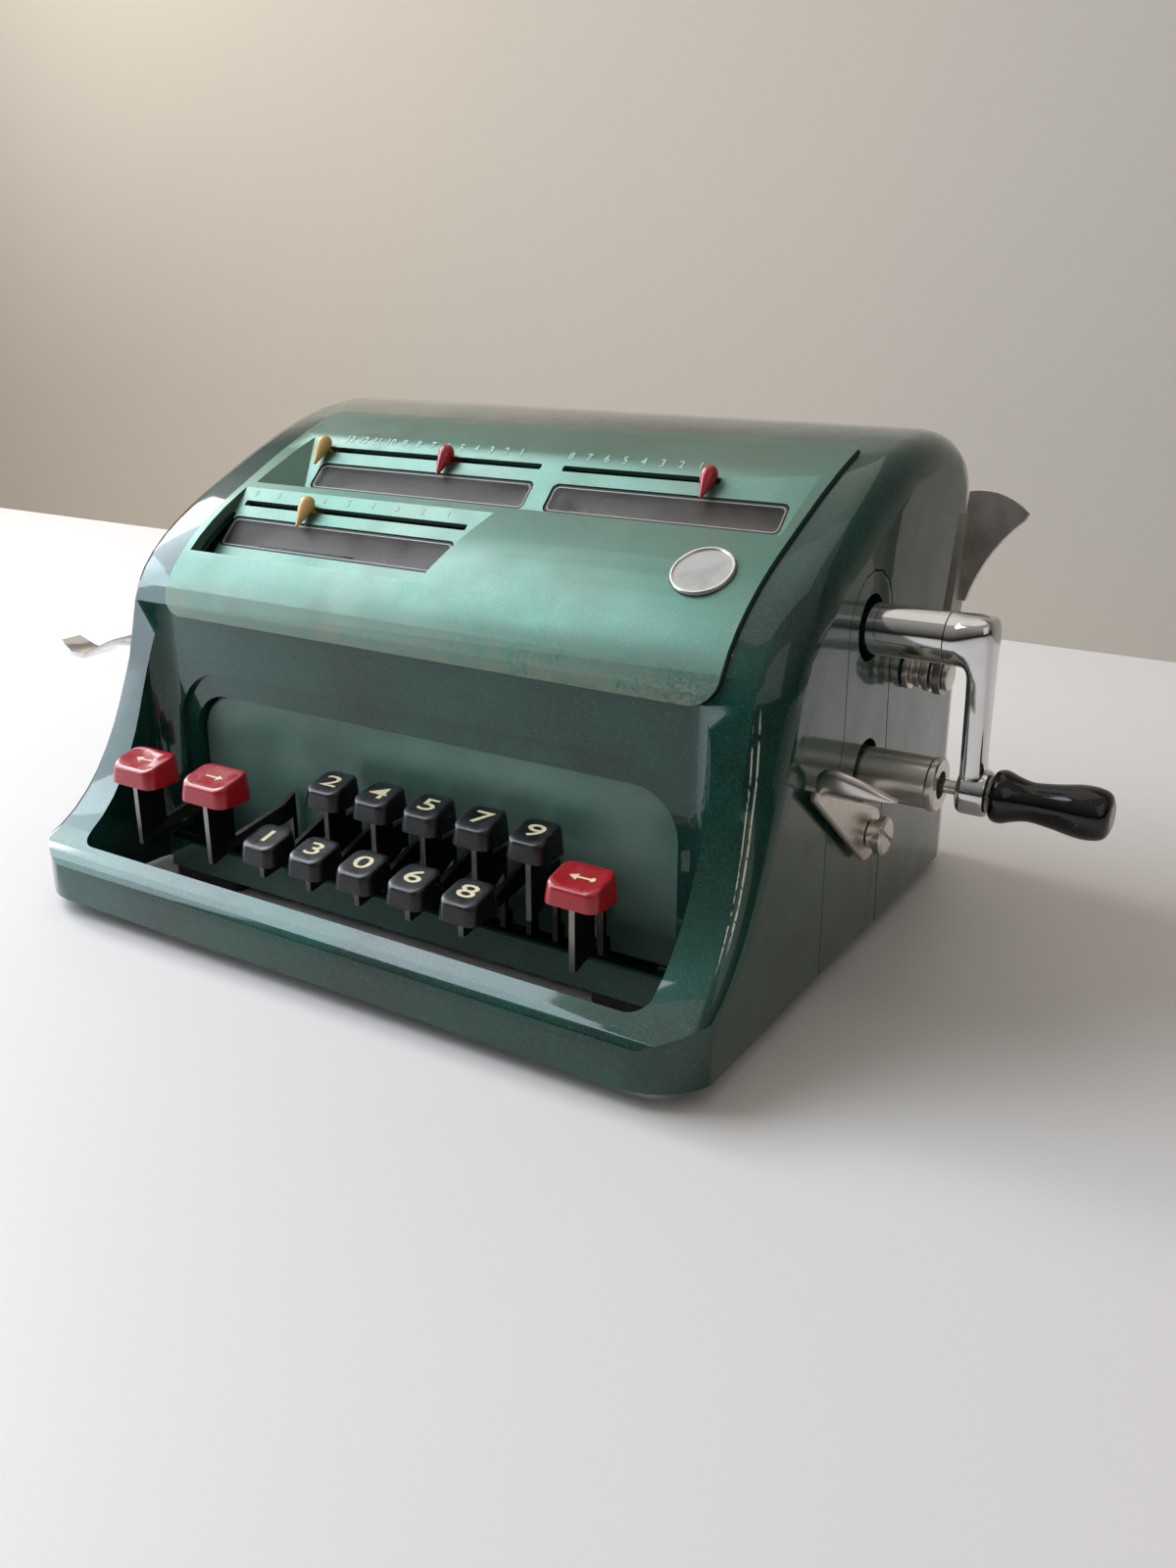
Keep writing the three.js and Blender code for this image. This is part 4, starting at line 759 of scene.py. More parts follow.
def quads(rings: int, length: int, closed: bool = False) -> list[tuple[int, ...]]:
    """Lists the faces between rings of points.

    Args:
        rings: Number of rings.
        length: Points in each ring.
        closed: Whether the last ring joins the first.

    Returns:
        The corners of each face.
    """
    faces: list[tuple[int, ...]] = []
    for r in range(rings if closed else rings - 1):
        here, after = r * length, (r + 1) % rings * length
        for i in range(length):
            j = (i + 1) % length
            faces.append((here + i, here + j, after + j, after + i))
    return faces


def skin(name: str, rings: Sequence[Sequence[Vector]]) -> Mesh:
    """Joins rings of points into a closed skin with a flat face at each end.

    Args:
        name: Name of the mesh.
        rings: The rings, in mm.

    Returns:
        The mesh.
    """
    n = len(rings[0])
    faces = quads(len(rings), n)
    faces.append(tuple(reversed(range(n))))
    faces.append(tuple(range((len(rings) - 1) * n, len(rings) * n)))
    return mesh_from(name, [p for ring in rings for p in ring], faces)


def turned(name: str, profile: Sequence[Pair], y: float, z: float, sides: int = 64) -> Mesh:
    """Turns a profile about an axis along x.

    Args:
        name: Name of the mesh.
        profile: Pairs of x and radius.
        y: Depth of the axis.
        z: Height of the axis.
        sides: Points round the axis.

    Returns:
        The mesh.
    """
    rings = [[Vector((x, y + r * math.cos(a), z + r * math.sin(a))) for a in around(sides)] for x, r in profile]
    return skin(name, rings)


def rounded(half_x: float, half_y: float, radius: float, per_corner: int) -> list[Pair]:
    """Lists the points of a rounded rectangle about the origin.

    Args:
        half_x: Half the distance between the middles of its corner arcs across.
        half_y: The same along.
        radius: Radius of its corners.
        per_corner: Points on each corner.

    Returns:
        The points, counter-clockwise from the right.
    """
    points = []
    for quarter, (sx, sy) in enumerate(((1, 1), (-1, 1), (-1, -1), (1, -1))):
        for i in range(per_corner):
            a = (quarter + i / (per_corner - 1)) * math.pi / 2
            points.append((sx * half_x + radius * math.cos(a), sy * half_y + radius * math.sin(a)))
    return points


def smooth_path(values: Sequence[Sequence[float]], steps: int) -> list[list[float]]:
    """Runs a smooth curve through rows of numbers.

    Args:
        values: Rows that the curve goes through.
        steps: Steps from one row to the next.

    Returns:
        The denser rows.
    """
    out: list[list[float]] = []
    for i in range(len(values) - 1):
        a, b, c, d = (values[max(0, min(len(values) - 1, k))] for k in (i - 1, i, i + 1, i + 2))
        for s in range(steps):
            t = s / steps
            out.append([
                0.5 * (2 * q + (r - p) * t + (2 * p - 5 * q + 4 * r - u) * t * t + (3 * q - p - 3 * r + u) * t**3)
                for p, q, r, u in zip(a, b, c, d)
            ])
    out.append(list(values[-1]))
    return out


def lettering(text: str, size: float, weight: float) -> Mesh:
    """Makes flat characters in mm, centred on the origin of the XY plane.

    Args:
        text: Characters to draw.
        size: Height of the type body.
        weight: Extra thickness of the strokes.

    Returns:
        A mesh of the characters.
    """
    curve = bpy.data.curves.new("type", "FONT")
    curve.body = text
    curve.size = size
    curve.offset = weight
    curve.align_x = curve.align_y = "CENTER"
    curve.resolution_u = 3
    holder = placed("type", curve)
    bpy.context.view_layer.update()
    mesh = bpy.data.meshes.new_from_object(holder.evaluated_get(bpy.context.evaluated_depsgraph_get()))
    bpy.data.objects.remove(holder)
    bpy.data.curves.remove(curve)
    return mesh


def laid(meshes: Sequence[tuple[Mesh, Callable[[Vector], Vector]]], name: str, thick: float) -> Mesh:
    """Lays flat meshes on a surface and joins them.

    Args:
        meshes: Flat meshes in mm, each with the function that takes its points onto the surface.
        name: Name of the joined mesh.
        thick: Thickness in mm, along the flat mesh's z.

    Returns:
        One mesh in the shared frame.
    """
    work = bmesh.new()
    for flat, place in meshes:
        part = bmesh.new()
        part.from_mesh(flat)
        bmesh.ops.remove_doubles(part, verts=part.verts, dist=SAME_MM)
        top = bmesh.ops.extrude_face_region(part, geom=part.faces[:])
        for v in (g for g in top["geom"] if isinstance(g, bmesh.types.BMVert)):
            v.co.z += thick
        for v in part.verts:
            v.co = row(*place(v.co.copy()))
        made = finished(part, name)
        work.from_mesh(made)
        bpy.data.meshes.remove(made)
    return finished(work, name)


# Keys


class KeyKind(Enum):
    """The three shapes of key top: width, depth, height and corner radius in mm."""

    NUMBER = (13.6, 13.6, 7.8, 3.2)
    SHIFT = (19.5, 14.5, 7.8, 3.6)
    CLEAR = (17.4, 13.8, 7.2, 3.4)


@dataclass(frozen=True)
class Key:
    """One key top: where it is and what it says."""

    label: str
    legend: str
    x: float
    y: float
    top: float
    kind: KeyKind = KeyKind.NUMBER


@dataclass
class Keyboard:
    """The thirteen key tops, each with its filled legend."""

    pitch: float = 18.6
    middle: float = 2.5
    dish_radius: float = 42.0
    dish_depth: float = 0.75
    tilt: float = 0.23  # rise of a top per millimetre towards the rear
    rim: float = 2.0  # depth of the rim, over which the tilt is full
    per_corner: int = 9
    digit_size: float = 7.8
    digit_stretch: float = 1.75
    legend_weight: float = 0.05
    legend_lift: float = 0.05
    corner_kept: float = 1.5  # inset up to which a corner keeps its radius
    corner_loss: float = 0.6
    least_corner: float = 0.15
    least_half: float = 0.02
    arrow_half: float = 3.6
    arrow_thin: float = 0.32
    arrow_neck: float = 2.2
    arrow_head: Pair = (2.6, 1.35)  # length and half width
    arrow_dot: float = 0.85

    def keys(self) -> list[Key]:
        """Lists the keys from the two rows of numbers and the three red ones.

        Returns:
            The thirteen keys.
        """
        made = []
        for labels, shift, y, top in (("13068", 0.0, 20.8, 35.8), ("24579", self.pitch / 2, 40.0, 49.0)):
            for i, label in enumerate(labels):
                made.append(Key(label, label, self.middle + (i - 2) * self.pitch + shift, y, top))
        return made + [
            Key("shift_left", "left", -91.7, 25.5, 48.2, KeyKind.SHIFT),
            Key("shift_right", "right", -60.3, 25.5, 48.2, KeyKind.SHIFT),
            Key("clear", "clear", 73.5, 25.2, 46.4, KeyKind.CLEAR),
        ]

    def dish(self, across: float) -> float:
        """Gives how far the hollowed top lies under its rim at a distance across."""
        return self.dish_radius - self.dish_depth - math.sqrt(self.dish_radius**2 - across**2)

    def ring(self, key: Key, inset: float, level: float, hollow: float) -> list[Vector]:
        """Gives one level of a key top as a rounded rectangle.

        Args:
            key: The key.
            inset: How far the outline is drawn in.
            level: Height against the rim.
            hollow: Share of the dish that this level follows.

        Returns:
            The ring's points.
        """
        width, depth, height, corner = key.kind.value
        r = max(self.least_corner, corner - max(0.0, inset - self.corner_kept) * self.corner_loss)
        hx, hy = (max(self.least_half, whole / 2 - inset - r) for whole in (width, depth))
        slope = self.tilt * min(1.0, 1 + (level + self.rim) / (height - self.rim))
        return [
            Vector((key.x + dx, key.y + dy, key.top + level + dy * slope + hollow * self.dish(dx)))
            for dx, dy in rounded(hx, hy, r, self.per_corner)
        ]

    def cap_mesh(self, key: Key) -> Mesh:
        """Builds a key top: tapering sides, a soft rim and a hollowed top.

        Args:
            key: The key.

        Returns:
            The key top's mesh.
        """
        height = key.kind.value[2]
        levels = [
            (0.35, -height, 0.0), (0.1, -height + 0.15, 0.0), (0.1, -height + 0.5, 0.0), (0.3, -height * 0.55, 0.0),
            (0.5, -2.2, 0.0), (0.58, -1.3, 0.3), (0.72, -0.7, 0.6), (0.98, -0.32, 0.85), (1.4, -0.1, 1.0),
            (2.1, 0.0, 1.0), (3.3, 0.0, 1.0), (5.0, 0.0, 1.0), (6.3, 0.0, 1.0),
        ]
        return skin(f"key_top_{key.label}", [self.ring(key, *level) for level in levels])

    def arrow(self, pointing: str) -> Mesh:
        """Makes a flat arrow in mm: a thin shaft with a solid head, and a dot at the tail of the clearing one.

        Args:
            pointing: Where it points: left, right or clear, which points left too.

        Returns:
            The arrow's mesh.
        """
        sign = 1 if pointing == "right" else -1
        long, thin, dot = self.arrow_half, self.arrow_thin, self.arrow_dot
        neck, back, wide = long - self.arrow_neck, long - self.arrow_head[0], self.arrow_head[1]
        shapes = [
            [(-long, -thin), (neck, -thin), (neck, thin), (-long, thin)],
            [(back, -wide), (long, 0.0), (back, wide)],
        ]
        if pointing == "clear":
            shapes.append([(-long + dot * math.cos(a), dot * math.sin(a)) for a in around(16)])
        vertices: list[Vector] = []
        faces = []
        for shape in shapes:
            start = len(vertices)
            vertices += [Vector((sign * x, y, 0.0)) for x, y in shape]
            faces.append(tuple(range(start, len(vertices))))
        mesh = bpy.data.meshes.new("arrow")
        mesh.from_pydata(vertices, [], faces)
        return mesh

    def legend_mesh(self, key: Key) -> Mesh:
        """Lays a key's digit or arrow in the hollow of its top.

        Args:
            key: The key.

        Returns:
            The legend's mesh.
        """
        if key.kind is KeyKind.NUMBER:
            flat, wide = lettering(key.legend, self.digit_size, self.legend_weight), self.digit_stretch
        else:
            flat, wide = self.arrow(key.legend), 1.0

        def place(p: Vector) -> Vector:
            """Takes a point of the flat legend to the key top."""
            x, lift = p.x * wide, self.legend_lift + p.z
            return Vector((key.x + x, key.y + p.y, key.top + self.dish(x) + p.y * self.tilt + lift))

        return laid([(flat, place)], f"legend_{key.label}", self.legend_weight)

    def build(self, shop: Workshop) -> None:
        """Makes all key tops and legends.

        Args:
            shop: Where they are made.
        """
        for key in self.keys():
            slot = Slot.BLACK if key.kind is KeyKind.NUMBER else Slot.RED
            body = f"key_{key.label}"
            shop.piece(f"key_top_{key.label}", self.cap_mesh(key), shop.palette.slot(slot), body, slot,
                       [f"keycap_{key.label}"])
            shop.piece(f"legend_{key.label}", self.legend_mesh(key), shop.palette.legend, body)


# Crank


@dataclass
class Crank:
    """The chromed elbow arm and the turned black grip."""

    shaft: Pair = (105.0, 101.4)
    handle: Pair = (107.0, 58.9)
    hub_radius: float = 7.2
    hub_end: float = 140.3
    inner: float = 146.2
    thick: float = 6.6
    boss: float = 8.4
    boss_radius: float = 6.6
    grip_start: float = 155.5
    grip_length: float = 31.5
    sides: int = 56

    def sections(self) -> list[list[float]]:
        """Lists the arm's sections from the hub to the handle.

        Returns:
            For each section: inner x and z, outer x and z, half depth and squareness.
        """
        low, top = self.shaft[1] - self.hub_radius, self.shaft[1] + self.hub_radius
        inner, outer = self.inner, self.inner + self.thick
        foot = self.handle[1]
        return [
            [self.hub_end, low, self.hub_end, top, self.hub_radius, 2.0],
            [inner - 3.5, low, inner - 3.5, top, self.hub_radius, 2.05],
            [inner - 1.7, low, inner - 1.7, top, self.hub_radius, 2.3],
            [inner - 0.9, low - 0.1, outer - 3.8, top, 7.0, 2.8],
            [inner - 0.4, low - 0.6, outer - 1.0, top - 1.0, 6.6, 3.2],
            [inner - 0.1, low - 1.4, outer, top - 4.6, 6.0, 3.4],
            [inner, low - 3.0, outer, low + 0.5, 5.2, 3.4],
            [inner, low - 9.0, outer, low - 9.0, 4.6, 3.4],
            [inner, foot + 9.0, outer, foot + 9.0, 4.5, 3.2],
            [inner, foot + 4.5, outer + 0.6, foot + 4.5, 5.0, 3.0],
        ]

    def arm_mesh(self) -> Mesh:
        """Sweeps the sections into the arm.

        Returns:
            The arm's mesh.
        """
        low = self.shaft[1] - self.hub_radius
        rings = []
        for x0, z0, x1, z1, depth, power in smooth_path(self.sections(), 4):
            ring = []
            for a in around(self.sides):
                across = 0.5 + squared(math.cos(a), 2 / power) / 2
                z = z0 + (z1 - z0) * across
                shift = (self.handle[0] - self.shaft[0]) * max(0.0, low - z) / (low - self.handle[1])
                y = self.shaft[0] + shift + squared(math.sin(a), 2 / power) * depth
                ring.append(Vector((x0 + (x1 - x0) * across, y, z)))
            rings.append(ring)
        return skin("crank_elbow", rings)

    def boss_mesh(self) -> Mesh:
        """Turns the boss at the foot of the arm.

        Returns:
            The boss's mesh.
        """
        r, long = self.boss_radius, self.boss
        steps = ((0.0, 1.3), (0.35, 0.6), (1.0, 0.15), (1.8, 0.0), (long - 1.4, 0.0), (long - 0.5, 0.3), (long, 1.0))
        return turned("crank_boss", [(self.inner + out, r - less) for out, less in steps], *self.handle)

    def grip_mesh(self) -> Mesh:
        """Turns the grip: rim, waist, swell and rounded end.

        Returns:
            The grip's mesh.
        """
        rows = [[0, 6.2], [0.03, 7.15], [0.1, 7.4], [0.2, 6.3], [0.33, 5.5], [0.52, 6.1], [0.7, 7.1], [0.82, 7.3],
                [0.92, 6.8], [0.975, 5.6], [1.0, 3.6]]
        profile = [(self.grip_start + t * self.grip_length, r) for t, r in smooth_path(rows, 5)]
        return turned("turned_grip", profile, *self.handle)

    def build(self, shop: Workshop) -> None:
        """Makes the arm, its boss and the grip.

        Args:
            shop: Where they are made.
        """
        chrome = shop.palette.slot(Slot.CHROME)
        shop.piece("crank_elbow", self.arm_mesh(), chrome, "crank", Slot.CHROME, ["crank_arm"])
        shop.piece("crank_boss", self.boss_mesh(), chrome, "crank", Slot.CHROME)
        shop.piece("turned_grip", self.grip_mesh(), shop.palette.grip, "grip", Slot.BLACK, ["crank_grip"])


# Scales and panes of the cover


class Recess(Enum):
    """Long faces of the two recesses: top edge and foot of the face, in (y, z) mm."""

    UPPER = ((118.0, 142.2), (99.0, 124.0))
    LOWER = ((85.0, 126.0), (63.0, 105.0))

    def place(self, x: float, s: float, lift: float) -> Vector:
        """Gives a point on the face or above it.

        Args:
            x: Its x.
            s: Its distance down the face.
            lift: Its height off the face.

        Returns:
            The point, in mm.
        """
        (y0, z0), (y1, z1) = self.value
        long = math.hypot(y1 - y0, z1 - z0)
        dy, dz = (y1 - y0) / long, (z1 - z0) / long
        return Vector((x, y0 + dy * s + dz * lift, z0 + dz * s - dy * lift))


@dataclass(frozen=True)
class Scale:
    """A row of engraved figures that counts down to the right."""

    name: str
    recess: Recess
    highest: int
    x_first: float
    x_last: float
    s: float
    size: float


@dataclass
class CoverMarks:
    """Figures engraved over the slots."""

    scales: tuple[Scale, ...] = (
        Scale("product_scale", Recess.UPPER, 13, -76.9, -5.7, 3.4, 4.0),
        Scale("counter_scale", Recess.UPPER, 8, 13.1, 58.3, 3.4, 4.0),
        Scale("setting_scale", Recess.LOWER, 9, -90.9, -10.7, 2.3, 3.4),
    )
    lift: float = 0.04
    thick: float = 0.04
    weight: float = 0.02

    def scale_mesh(self, scale: Scale) -> Mesh:
        """Lays the figures of one scale on its face.

        Args:
            scale: The scale.

        Returns:
            The figures' mesh.
        """
        parts = []
        for i in range(scale.highest):
            middle = scale.x_first + (scale.x_last - scale.x_first) * i / (scale.highest - 1)

            def place(p: Vector, x: float = middle) -> Vector:
                """Takes a point of the flat figure to the face."""
                return scale.recess.place(x + p.x, scale.s - p.y, self.lift + p.z)

            parts.append((lettering(str(scale.highest - i), scale.size, self.weight), place))
        return laid(parts, scale.name, self.thick)

    def build(self, shop: Workshop) -> None:
        """Makes the scales."""
        for scale in self.scales:
            shop.piece(scale.name, self.scale_mesh(scale), shop.palette.scale, "machine")


@dataclass(frozen=True)
class Window:
    """An opening in a recess face: its span in x and down the face."""

    name: str
    recess: Recess
    x0: float
    x1: float
    s0: float
    s1: float


@dataclass
class PaneRims:
    """The dark gasket that holds each pane and a pale band inside it, a painted highlight along the pane's edge."""

    windows: tuple[Window, ...] = (
        Window("product", Recess.UPPER, -83.5, 4.6, 14.0, 25.0),
        Window("counter", Recess.UPPER, 11.6, 91.0, 14.0, 25.0),
        Window("setting", Recess.LOWER, -95.0, -3.0, 11.8, 24.0),
    )
    corner: float = 2.2
    pane_depth: float = 0.5
    gap: float = 0.35
    gasket: float = 0.6
    # width of the pale band, a painted highlight along the pane's edge
    painted_highlight_band: float = 0.28
    proud: float = 0.12
    sunk: float = 0.05
    per_corner: int = 6

    def outline(self, window: Window, inset: float) -> list[Pair]:
        """Gives an opening's rounded outline, drawn in.

        Args:
            window: The opening.
            inset: How far it is drawn in.

        Returns:
            The outline's points.
        """
        r = self.corner - inset * 0.5
        half_x, half_s = (window.x1 - window.x0) / 2, (window.s1 - window.s0) / 2
        return [
            (window.x0 + half_x + x, window.s0 + half_s + s)
            for x, s in rounded(half_x - inset - r, half_s - inset - r, r, self.per_corner)
        ]

    def band_mesh(self, window: Window, name: str, start: float, wide: float) -> Mesh:
        """Lays a closed band round a pane.

        Args:
            window: The opening.
            name: Name of the mesh.
            start: How far the band's outer edge lies inside the opening.
            wide: Width of the band.

        Returns:
            The band's mesh.
        """
        outer, inner = self.outline(window, start), self.outline(window, start + wide)
        low, high = -self.pane_depth - self.sunk, -self.pane_depth + self.proud
        loops = [(outer, low), (outer, high), (inner, high), (inner, low)]
        vertices = [window.recess.place(x, s, lift) for points, lift in loops for x, s in points]
        return mesh_from(name, vertices, quads(len(loops), len(outer), closed=True))

    def build(self, shop: Workshop) -> None:
        """Makes the gasket and the painted highlight band of each pane.

        Args:
            shop: Where they are made.
        """
        # the pale edge band is a painted highlight along each pane's edge
        rims = (("gasket", self.gap, self.gasket, shop.palette.gasket),
                ("edge", self.gap + self.gasket, self.painted_highlight_band, shop.palette.painted_highlight_band))
        for window in self.windows:
            for rim, start, wide, material in rims:
                name = f"{window.name}_pane_{rim}"
                shop.piece(name, self.band_mesh(window, name, start, wide), material, "machine")


# Small lever and badge


@dataclass
class SmallLever:
    """The nickelled lever below the crank: a pressed plate with a crescent thumb flange."""

    pivot: Pair = (105.0, 41.0)
    x_in: float = 120.4
    x_out: float = 122.0
    bore: float = 3.05
    head: float = 8.2
    head_arc: Pair = (-0.62, 0.87)  # start and length of the head's arc, in half turns
    head_steps: int = 14
    chamfer: float = 0.5
    flange_y: float = 67.0
    flange_half: float = 1.5
    flange_bow: float = 1.8
    flange_long: float = 21.5
    flange_seat: float = 0.05

    def rim(self) -> list[Pair]:
        """Lists the plate's outline about its pivot, counter-clockwise seen from the right.

        Returns:
            The outline's points.
        """
        start, sweep = self.head_arc
        turns = [math.pi * (start + sweep * i / self.head_steps) for i in range(self.head_steps + 1)]
        head = [(self.head * math.cos(a), self.head * math.sin(a)) for a in turns]
        return [(-42.6, 23.6), *head, (-7.0, 12.0), (-42.0, 26.0)]

    def inset(self, outline: Sequence[Pair], by: float) -> list[Pair]:
        """Draws an outline in, with mitred corners.

        Args:
            outline: The outline's points.
            by: How far it is drawn in.

        Returns:
            The new outline's points.
        """
        drawn = []
        for i in range(len(outline)):
            before, here, after = (Vector(outline[k % len(outline)]) for k in (i - 1, i, i + 1))
            first, second = ((q - p).normalized().orthogonal() for p, q in ((before, here), (here, after)))
            moved = here + (first + second) * (by / (1 + first.dot(second)))
            drawn.append((moved.x, moved.y))
        return drawn

    def plate_mesh(self) -> Mesh:
        """Builds the plate, pierced for its screw and with a chamfer round its outer face.

        Returns:
            The plate's mesh.
        """
        y0, z0 = self.pivot
        rim = self.rim()
        hole = [(self.bore * math.cos(a), self.bore * math.sin(a)) for a in around(24)]
        work = bmesh.new()
        low, edge, top, bore_low, bore_top = (
            [work.verts.new(row(x, y0 + y, z0 + z)) for y, z in outline]
            for outline, x in ((rim, self.x_in), (rim, self.x_out - self.chamfer),
                               (self.inset(rim, self.chamfer), self.x_out), (hole, self.x_in), (hole, self.x_out))
        )
        for lower, upper in ((low, edge), (edge, top), (bore_low, bore_top)):
            for i in range(len(lower)):
                j = (i + 1) % len(lower)
                work.faces.new((lower[i], lower[j], upper[j], upper[i]))
        for rings in ((low, bore_low), (top, bore_top)):
            edges = [work.edges.get((ring[i - 1], ring[i])) for ring in rings for i in range(len(ring))]
            bmesh.ops.triangle_fill(work, use_beauty=True, edges=edges)
        return finished(work, "small_lever_plate")

    def flange_mesh(self) -> Mesh:
        """Sweeps the flange: a blade of lens section whose top edge bows up and runs out to a tip.

        Returns:
            The flange's mesh.
        """
        z0 = self.pivot[1]
        spans = [[0.0, 21.0, 29.6], [2.2, 24.4, 31.5], [5.0, 25.1, 31.9], [9.0, 25.2, 31.4], [13.0, 25.3, 30.4],
                 [17.0, 25.4, 28.8], [20.0, 25.5, 27.2], [self.flange_long, 25.9, 26.5]]
        rings = []
        for out, low, top in smooth_path(spans, 4):
            x = self.x_in + self.flange_seat + out
            y = self.flange_y - self.flange_bow * math.sin(math.pi * min(1.0, out / self.flange_long))
            z, half = z0 + (low + top) / 2, (top - low) / 2
            swell = self.flange_half * min(1.0, 0.35 + (top - low) / 5)
            rings.append([Vector((x, y + math.cos(a) * swell, z + squared(math.sin(a), 0.8) * half))
                          for a in around(24)])
        return skin("small_lever_flange", rings)

    def build(self, shop: Workshop) -> None:
        """Makes the plate and its flange.

        Args:
            shop: Where they are made.
        """
        steel = shop.palette.slot(Slot.STEEL)
        shop.piece("small_lever_plate", self.plate_mesh(), steel, "small_lever", Slot.STEEL, ["counter_lever"])
        shop.piece("small_lever_flange", self.flange_mesh(), steel, "small_lever", Slot.STEEL)


@dataclass
class Badge:
    """A plain round badge: a satin disc in a thin bright ring, lying on the slope of the cover."""

    radius: float = 9.0
    ring: float = 0.9
    proud: float = 0.35
    sunk: float = 0.25
    disc_half: float = 0.5
    sides: int = 72

    def ring_mesh(self, centre: Vector, slope: float) -> Mesh:
        """Turns the ring about the badge's axis.

        Args:
            centre: Middle of the badge's face, in mm.
            slope: Rise of the cover towards the rear, in radians.

        Returns:
            The ring's mesh.
        """
        along = Vector((0, math.cos(slope), math.sin(slope)))
        out = Vector((0, -math.sin(slope), math.cos(slope)))
        r0, r1 = self.radius - self.ring, self.radius - 0.02
        section = [(r1, -self.sunk), (r1, 0.1), (r1 - 0.2, self.proud), (r0 + 0.25, self.proud), (r0, 0.04),
                   (r0, -self.sunk)]
        vertices = [
            centre + Vector((r * math.cos(a), 0, 0)) + along * (r * math.sin(a)) + out * h
            for a in around(self.sides) for r, h in section
        ]
        return mesh_from("badge_ring", vertices, quads(self.sides, len(section), closed=True))

    def build(self, shop: Workshop) -> None:
        """Makes the ring on the node that stands for the badge.

        Args:
            shop: Where it is made.
        """
        low, high = (Vector(c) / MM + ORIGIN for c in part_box("badge_disc"))
        slope = math.atan2(high.z - low.z, high.y - low.y)
        face = (low + high) / 2 + Vector((0, -math.sin(slope), math.cos(slope))) * self.disc_half
        shop.palette.paint(shop.nodes["badge_disc"], shop.palette.badge)
        shop.piece("badge_ring", self.ring_mesh(face, slope), shop.palette.slot(Slot.STEEL), "machine", Slot.STEEL)


# Stage, light and camera


@dataclass(frozen=True)
class Sheet:
    """One plain surface of the stage: its near and far edges as (y, z), and its finish."""

    near: Pair
    far: Pair
    finish: Finish

    def lay(self, half_width: float) -> None:
        """Puts the sheet into the scene.

        Args:
            half_width: How far it reaches to each side.
        """
        (y0, z0), (y1, z1) = self.near, self.far
        across = ((-half_width, y0, z0), (half_width, y0, z0), (half_width, y1, z1), (-half_width, y1, z1))
        mesh = bpy.data.meshes.new(self.finish.name)
        mesh.from_pydata([row(*corner) for corner in across], [], [(0, 1, 2, 3)])
        mesh.materials.append(self.finish.build())
        placed(self.finish.name, mesh)


@dataclass(frozen=True)
class Lamp:
    """A soft square lamp: where it hangs, the point that it faces, its size in metres, its watts and colour."""

    name: str
    place: Point
    target: Point
    size: float
    watts: float
    colour: str

    def hang(self) -> None:
        """Puts the lamp into the scene."""
        light = bpy.data.lights.new(self.name, "AREA")
        light.shape = "SQUARE"
        light.size = self.size
        light.energy = self.watts
        light.color = linear(self.colour)[:3]
        holder = placed(self.name, light)
        holder.location = row(*self.place)
        holder.rotation_euler = (row(*self.target) - row(*self.place)).to_track_quat("-Z", "Y").to_euler()


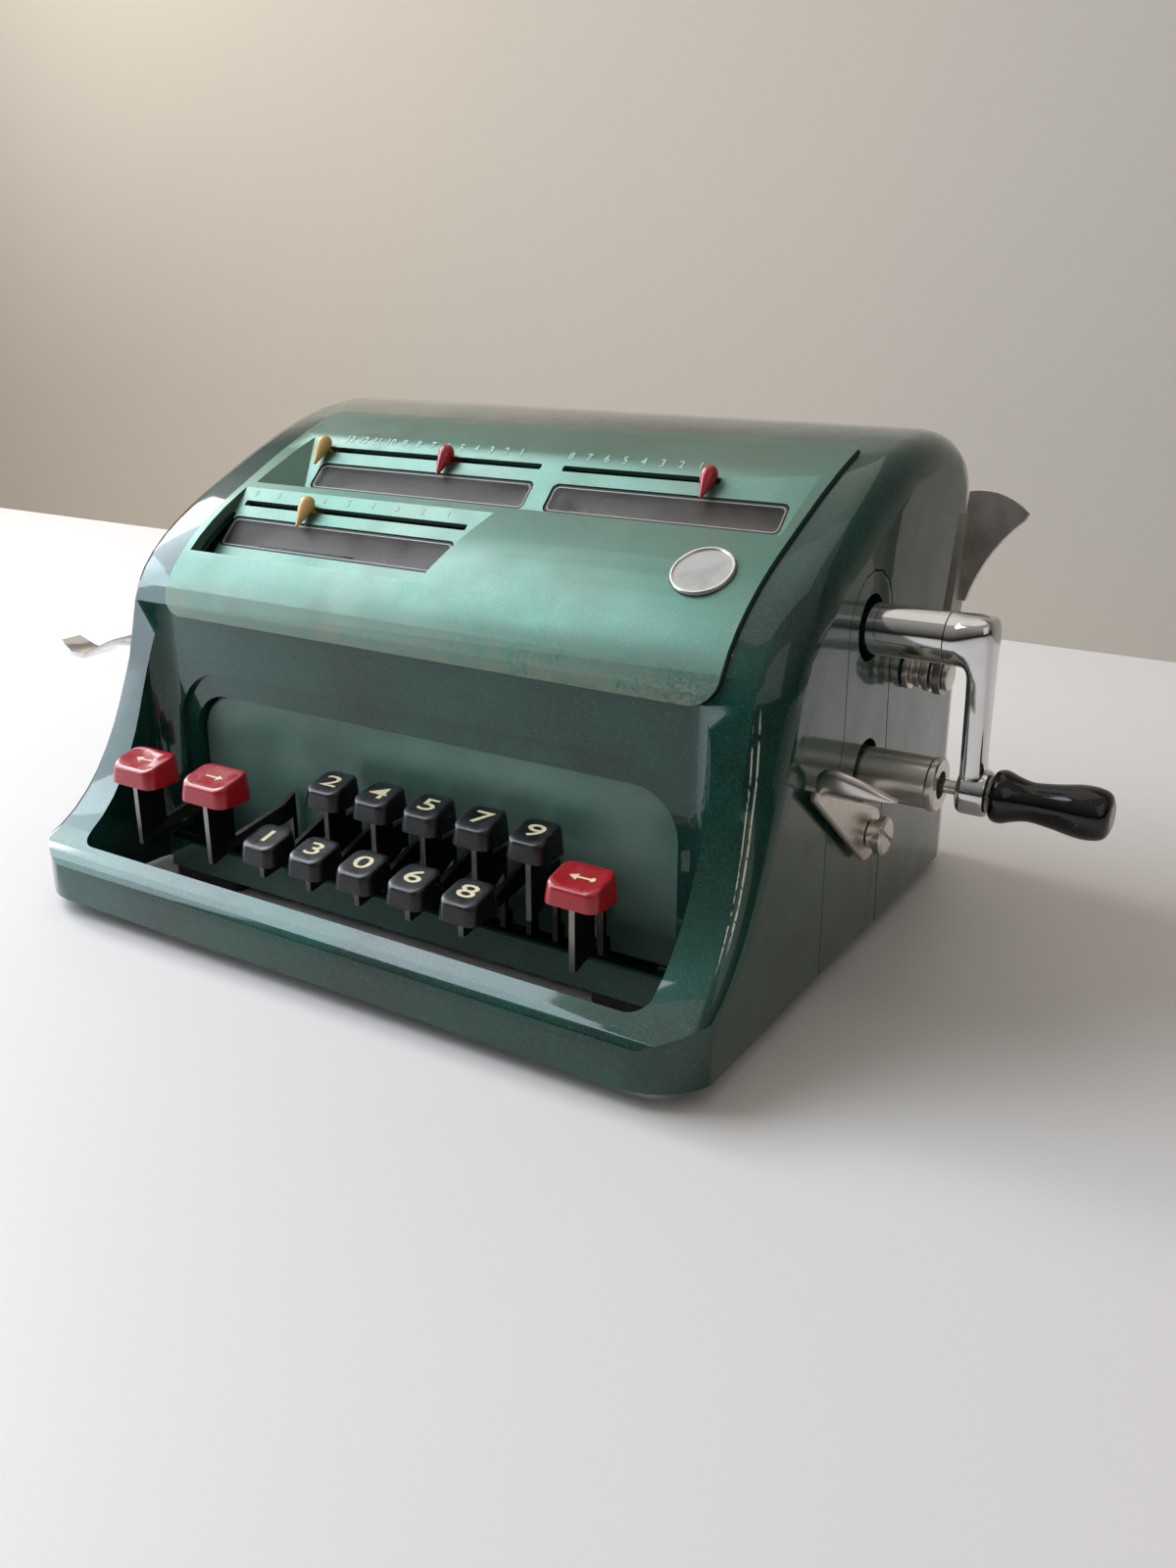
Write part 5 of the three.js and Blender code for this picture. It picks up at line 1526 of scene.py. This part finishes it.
@dataclass
class Studio:
    """Pale table, plain wall, soft light from the upper left and the photograph's camera."""

    eye: Point = (248.0, -250.0, 192.0)
    azimuth: float = 32.06
    pitch: float = -20.27
    lens: float = 31.5
    sensor: Pair = (27.0, 36.0)
    reach: float = 3000.0
    table_end: float = 514.0
    wall: float = 1500.0
    lower_floor: float = -350.0
    lamps: tuple[Lamp, ...] = (
        Lamp("window_light", (-800, -110, 840), (0, 60, 60), 0.86, 12.0, "#e6f1ff"),
        Lamp("left_window", (-900, -330, 330), (0, 60, 20), 0.6, 4.4, "#e6f1ff"),
        Lamp("rear_light", (-200, 300, 1100), (0, 100, 60), 1.0, 1.6, "#fff6ec"),
        Lamp("wall_light", (-1800, 450, 1250), (-1150, 1500, 200), 0.8, 20.0, "#fff8f2"),
        Lamp("right_fill", (820, -420, 620), (110, 90, 70), 0.8, 1.0, "#fff4ea"),
    )
    horizon: str = "#45423f"
    overhead: str = "#e4e0da"
    paling: Pair = (0.1, 0.8)  # rise of the view between which the room pales
    room_strength: float = 0.44

    def sheets(self) -> list[Sheet]:
        """Lists the stage's surfaces: the table, a lower floor behind it and the wall.

        Returns:
            The sheets.
        """
        reach, end, wall, low = self.reach, self.table_end, self.wall, self.lower_floor
        return [
            # lacquered table top: white with a soft sheen
            Sheet((-reach, 0), (end, 0), Finish("pale_table", "#e3dfdc", 0.45)),
            # pale floor covering behind the table: matt
            Sheet((end, low), (wall, low), Finish("pale_floor", "#d9d5cf", 0.6)),
            # painted plaster: warm white, matt
            Sheet((wall, low), (wall, reach), Finish("plain_wall", "#d3cdc3", 0.8)),
        ]

    def room(self) -> None:
        """Makes the world a soft room: pale overhead, dim round the horizon as metal mirrors it."""
        world = bpy.data.worlds.new("soft_room")
        bpy.context.scene.world = world
        world.use_nodes = True
        tree = world.node_tree
        view = add_node(tree, "ShaderNodeTexCoord").outputs["Generated"]
        up = add_node(tree, "ShaderNodeSeparateXYZ", {0: view}).outputs["Z"]
        share = add_node(tree, RANGE, {0: up, 1: self.paling[0], 2: self.paling[1]})
        colour = add_node(tree, MIX, {0: share, 6: linear(self.horizon), 7: linear(self.overhead)}, data_type="RGBA")
        fill(tree, tree.nodes["Background"], {"Color": colour, "Strength": self.room_strength})

    def camera(self) -> None:
        """Sets up the photograph's camera."""
        camera = bpy.data.cameras.new("photo_camera")
        camera.sensor_fit = "VERTICAL"
        camera.sensor_width, camera.sensor_height = self.sensor
        camera.lens = self.lens
        camera.clip_start = 0.01
        holder = placed("photo_camera", camera)
        holder.location = row(*self.eye)
        holder.rotation_euler = (math.radians(90 + self.pitch), 0.0, math.radians(self.azimuth))
        bpy.context.scene.camera = holder
        bpy.context.scene.view_settings.view_transform = "Standard"

    def build(self) -> None:
        """Makes the stage, lamps, world and camera."""
        for sheet in self.sheets():
            sheet.lay(self.reach)
        for lamp in self.lamps:
            lamp.hang()
        self.room()
        self.camera()


def main() -> None:
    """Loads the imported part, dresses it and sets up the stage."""
    logging.basicConfig(level=logging.INFO, format="%(message)s")
    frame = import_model()
    palette = Palette(frame["record"])
    shading = Shading()
    nodes = frame["nodes"]
    palette.dress_nodes(nodes)
    for name, node in nodes.items():
        shading.soften(node, SOFT_EDGES.get(name, BARELY_BROKEN))
        shading.put_on(node)
    palette.paint(nodes["clearing_lever"], palette.dull)
    shop = Workshop(palette, shading, nodes)
    for assembly in (Keyboard(), Crank(), SmallLever(), CoverMarks(), PaneRims(), Badge()):
        LOG.info("building %s", type(assembly).__name__)
        assembly.build(shop)
    Studio().build()
    bpy.context.view_layer.update()


if __name__ == "__main__":
    main()
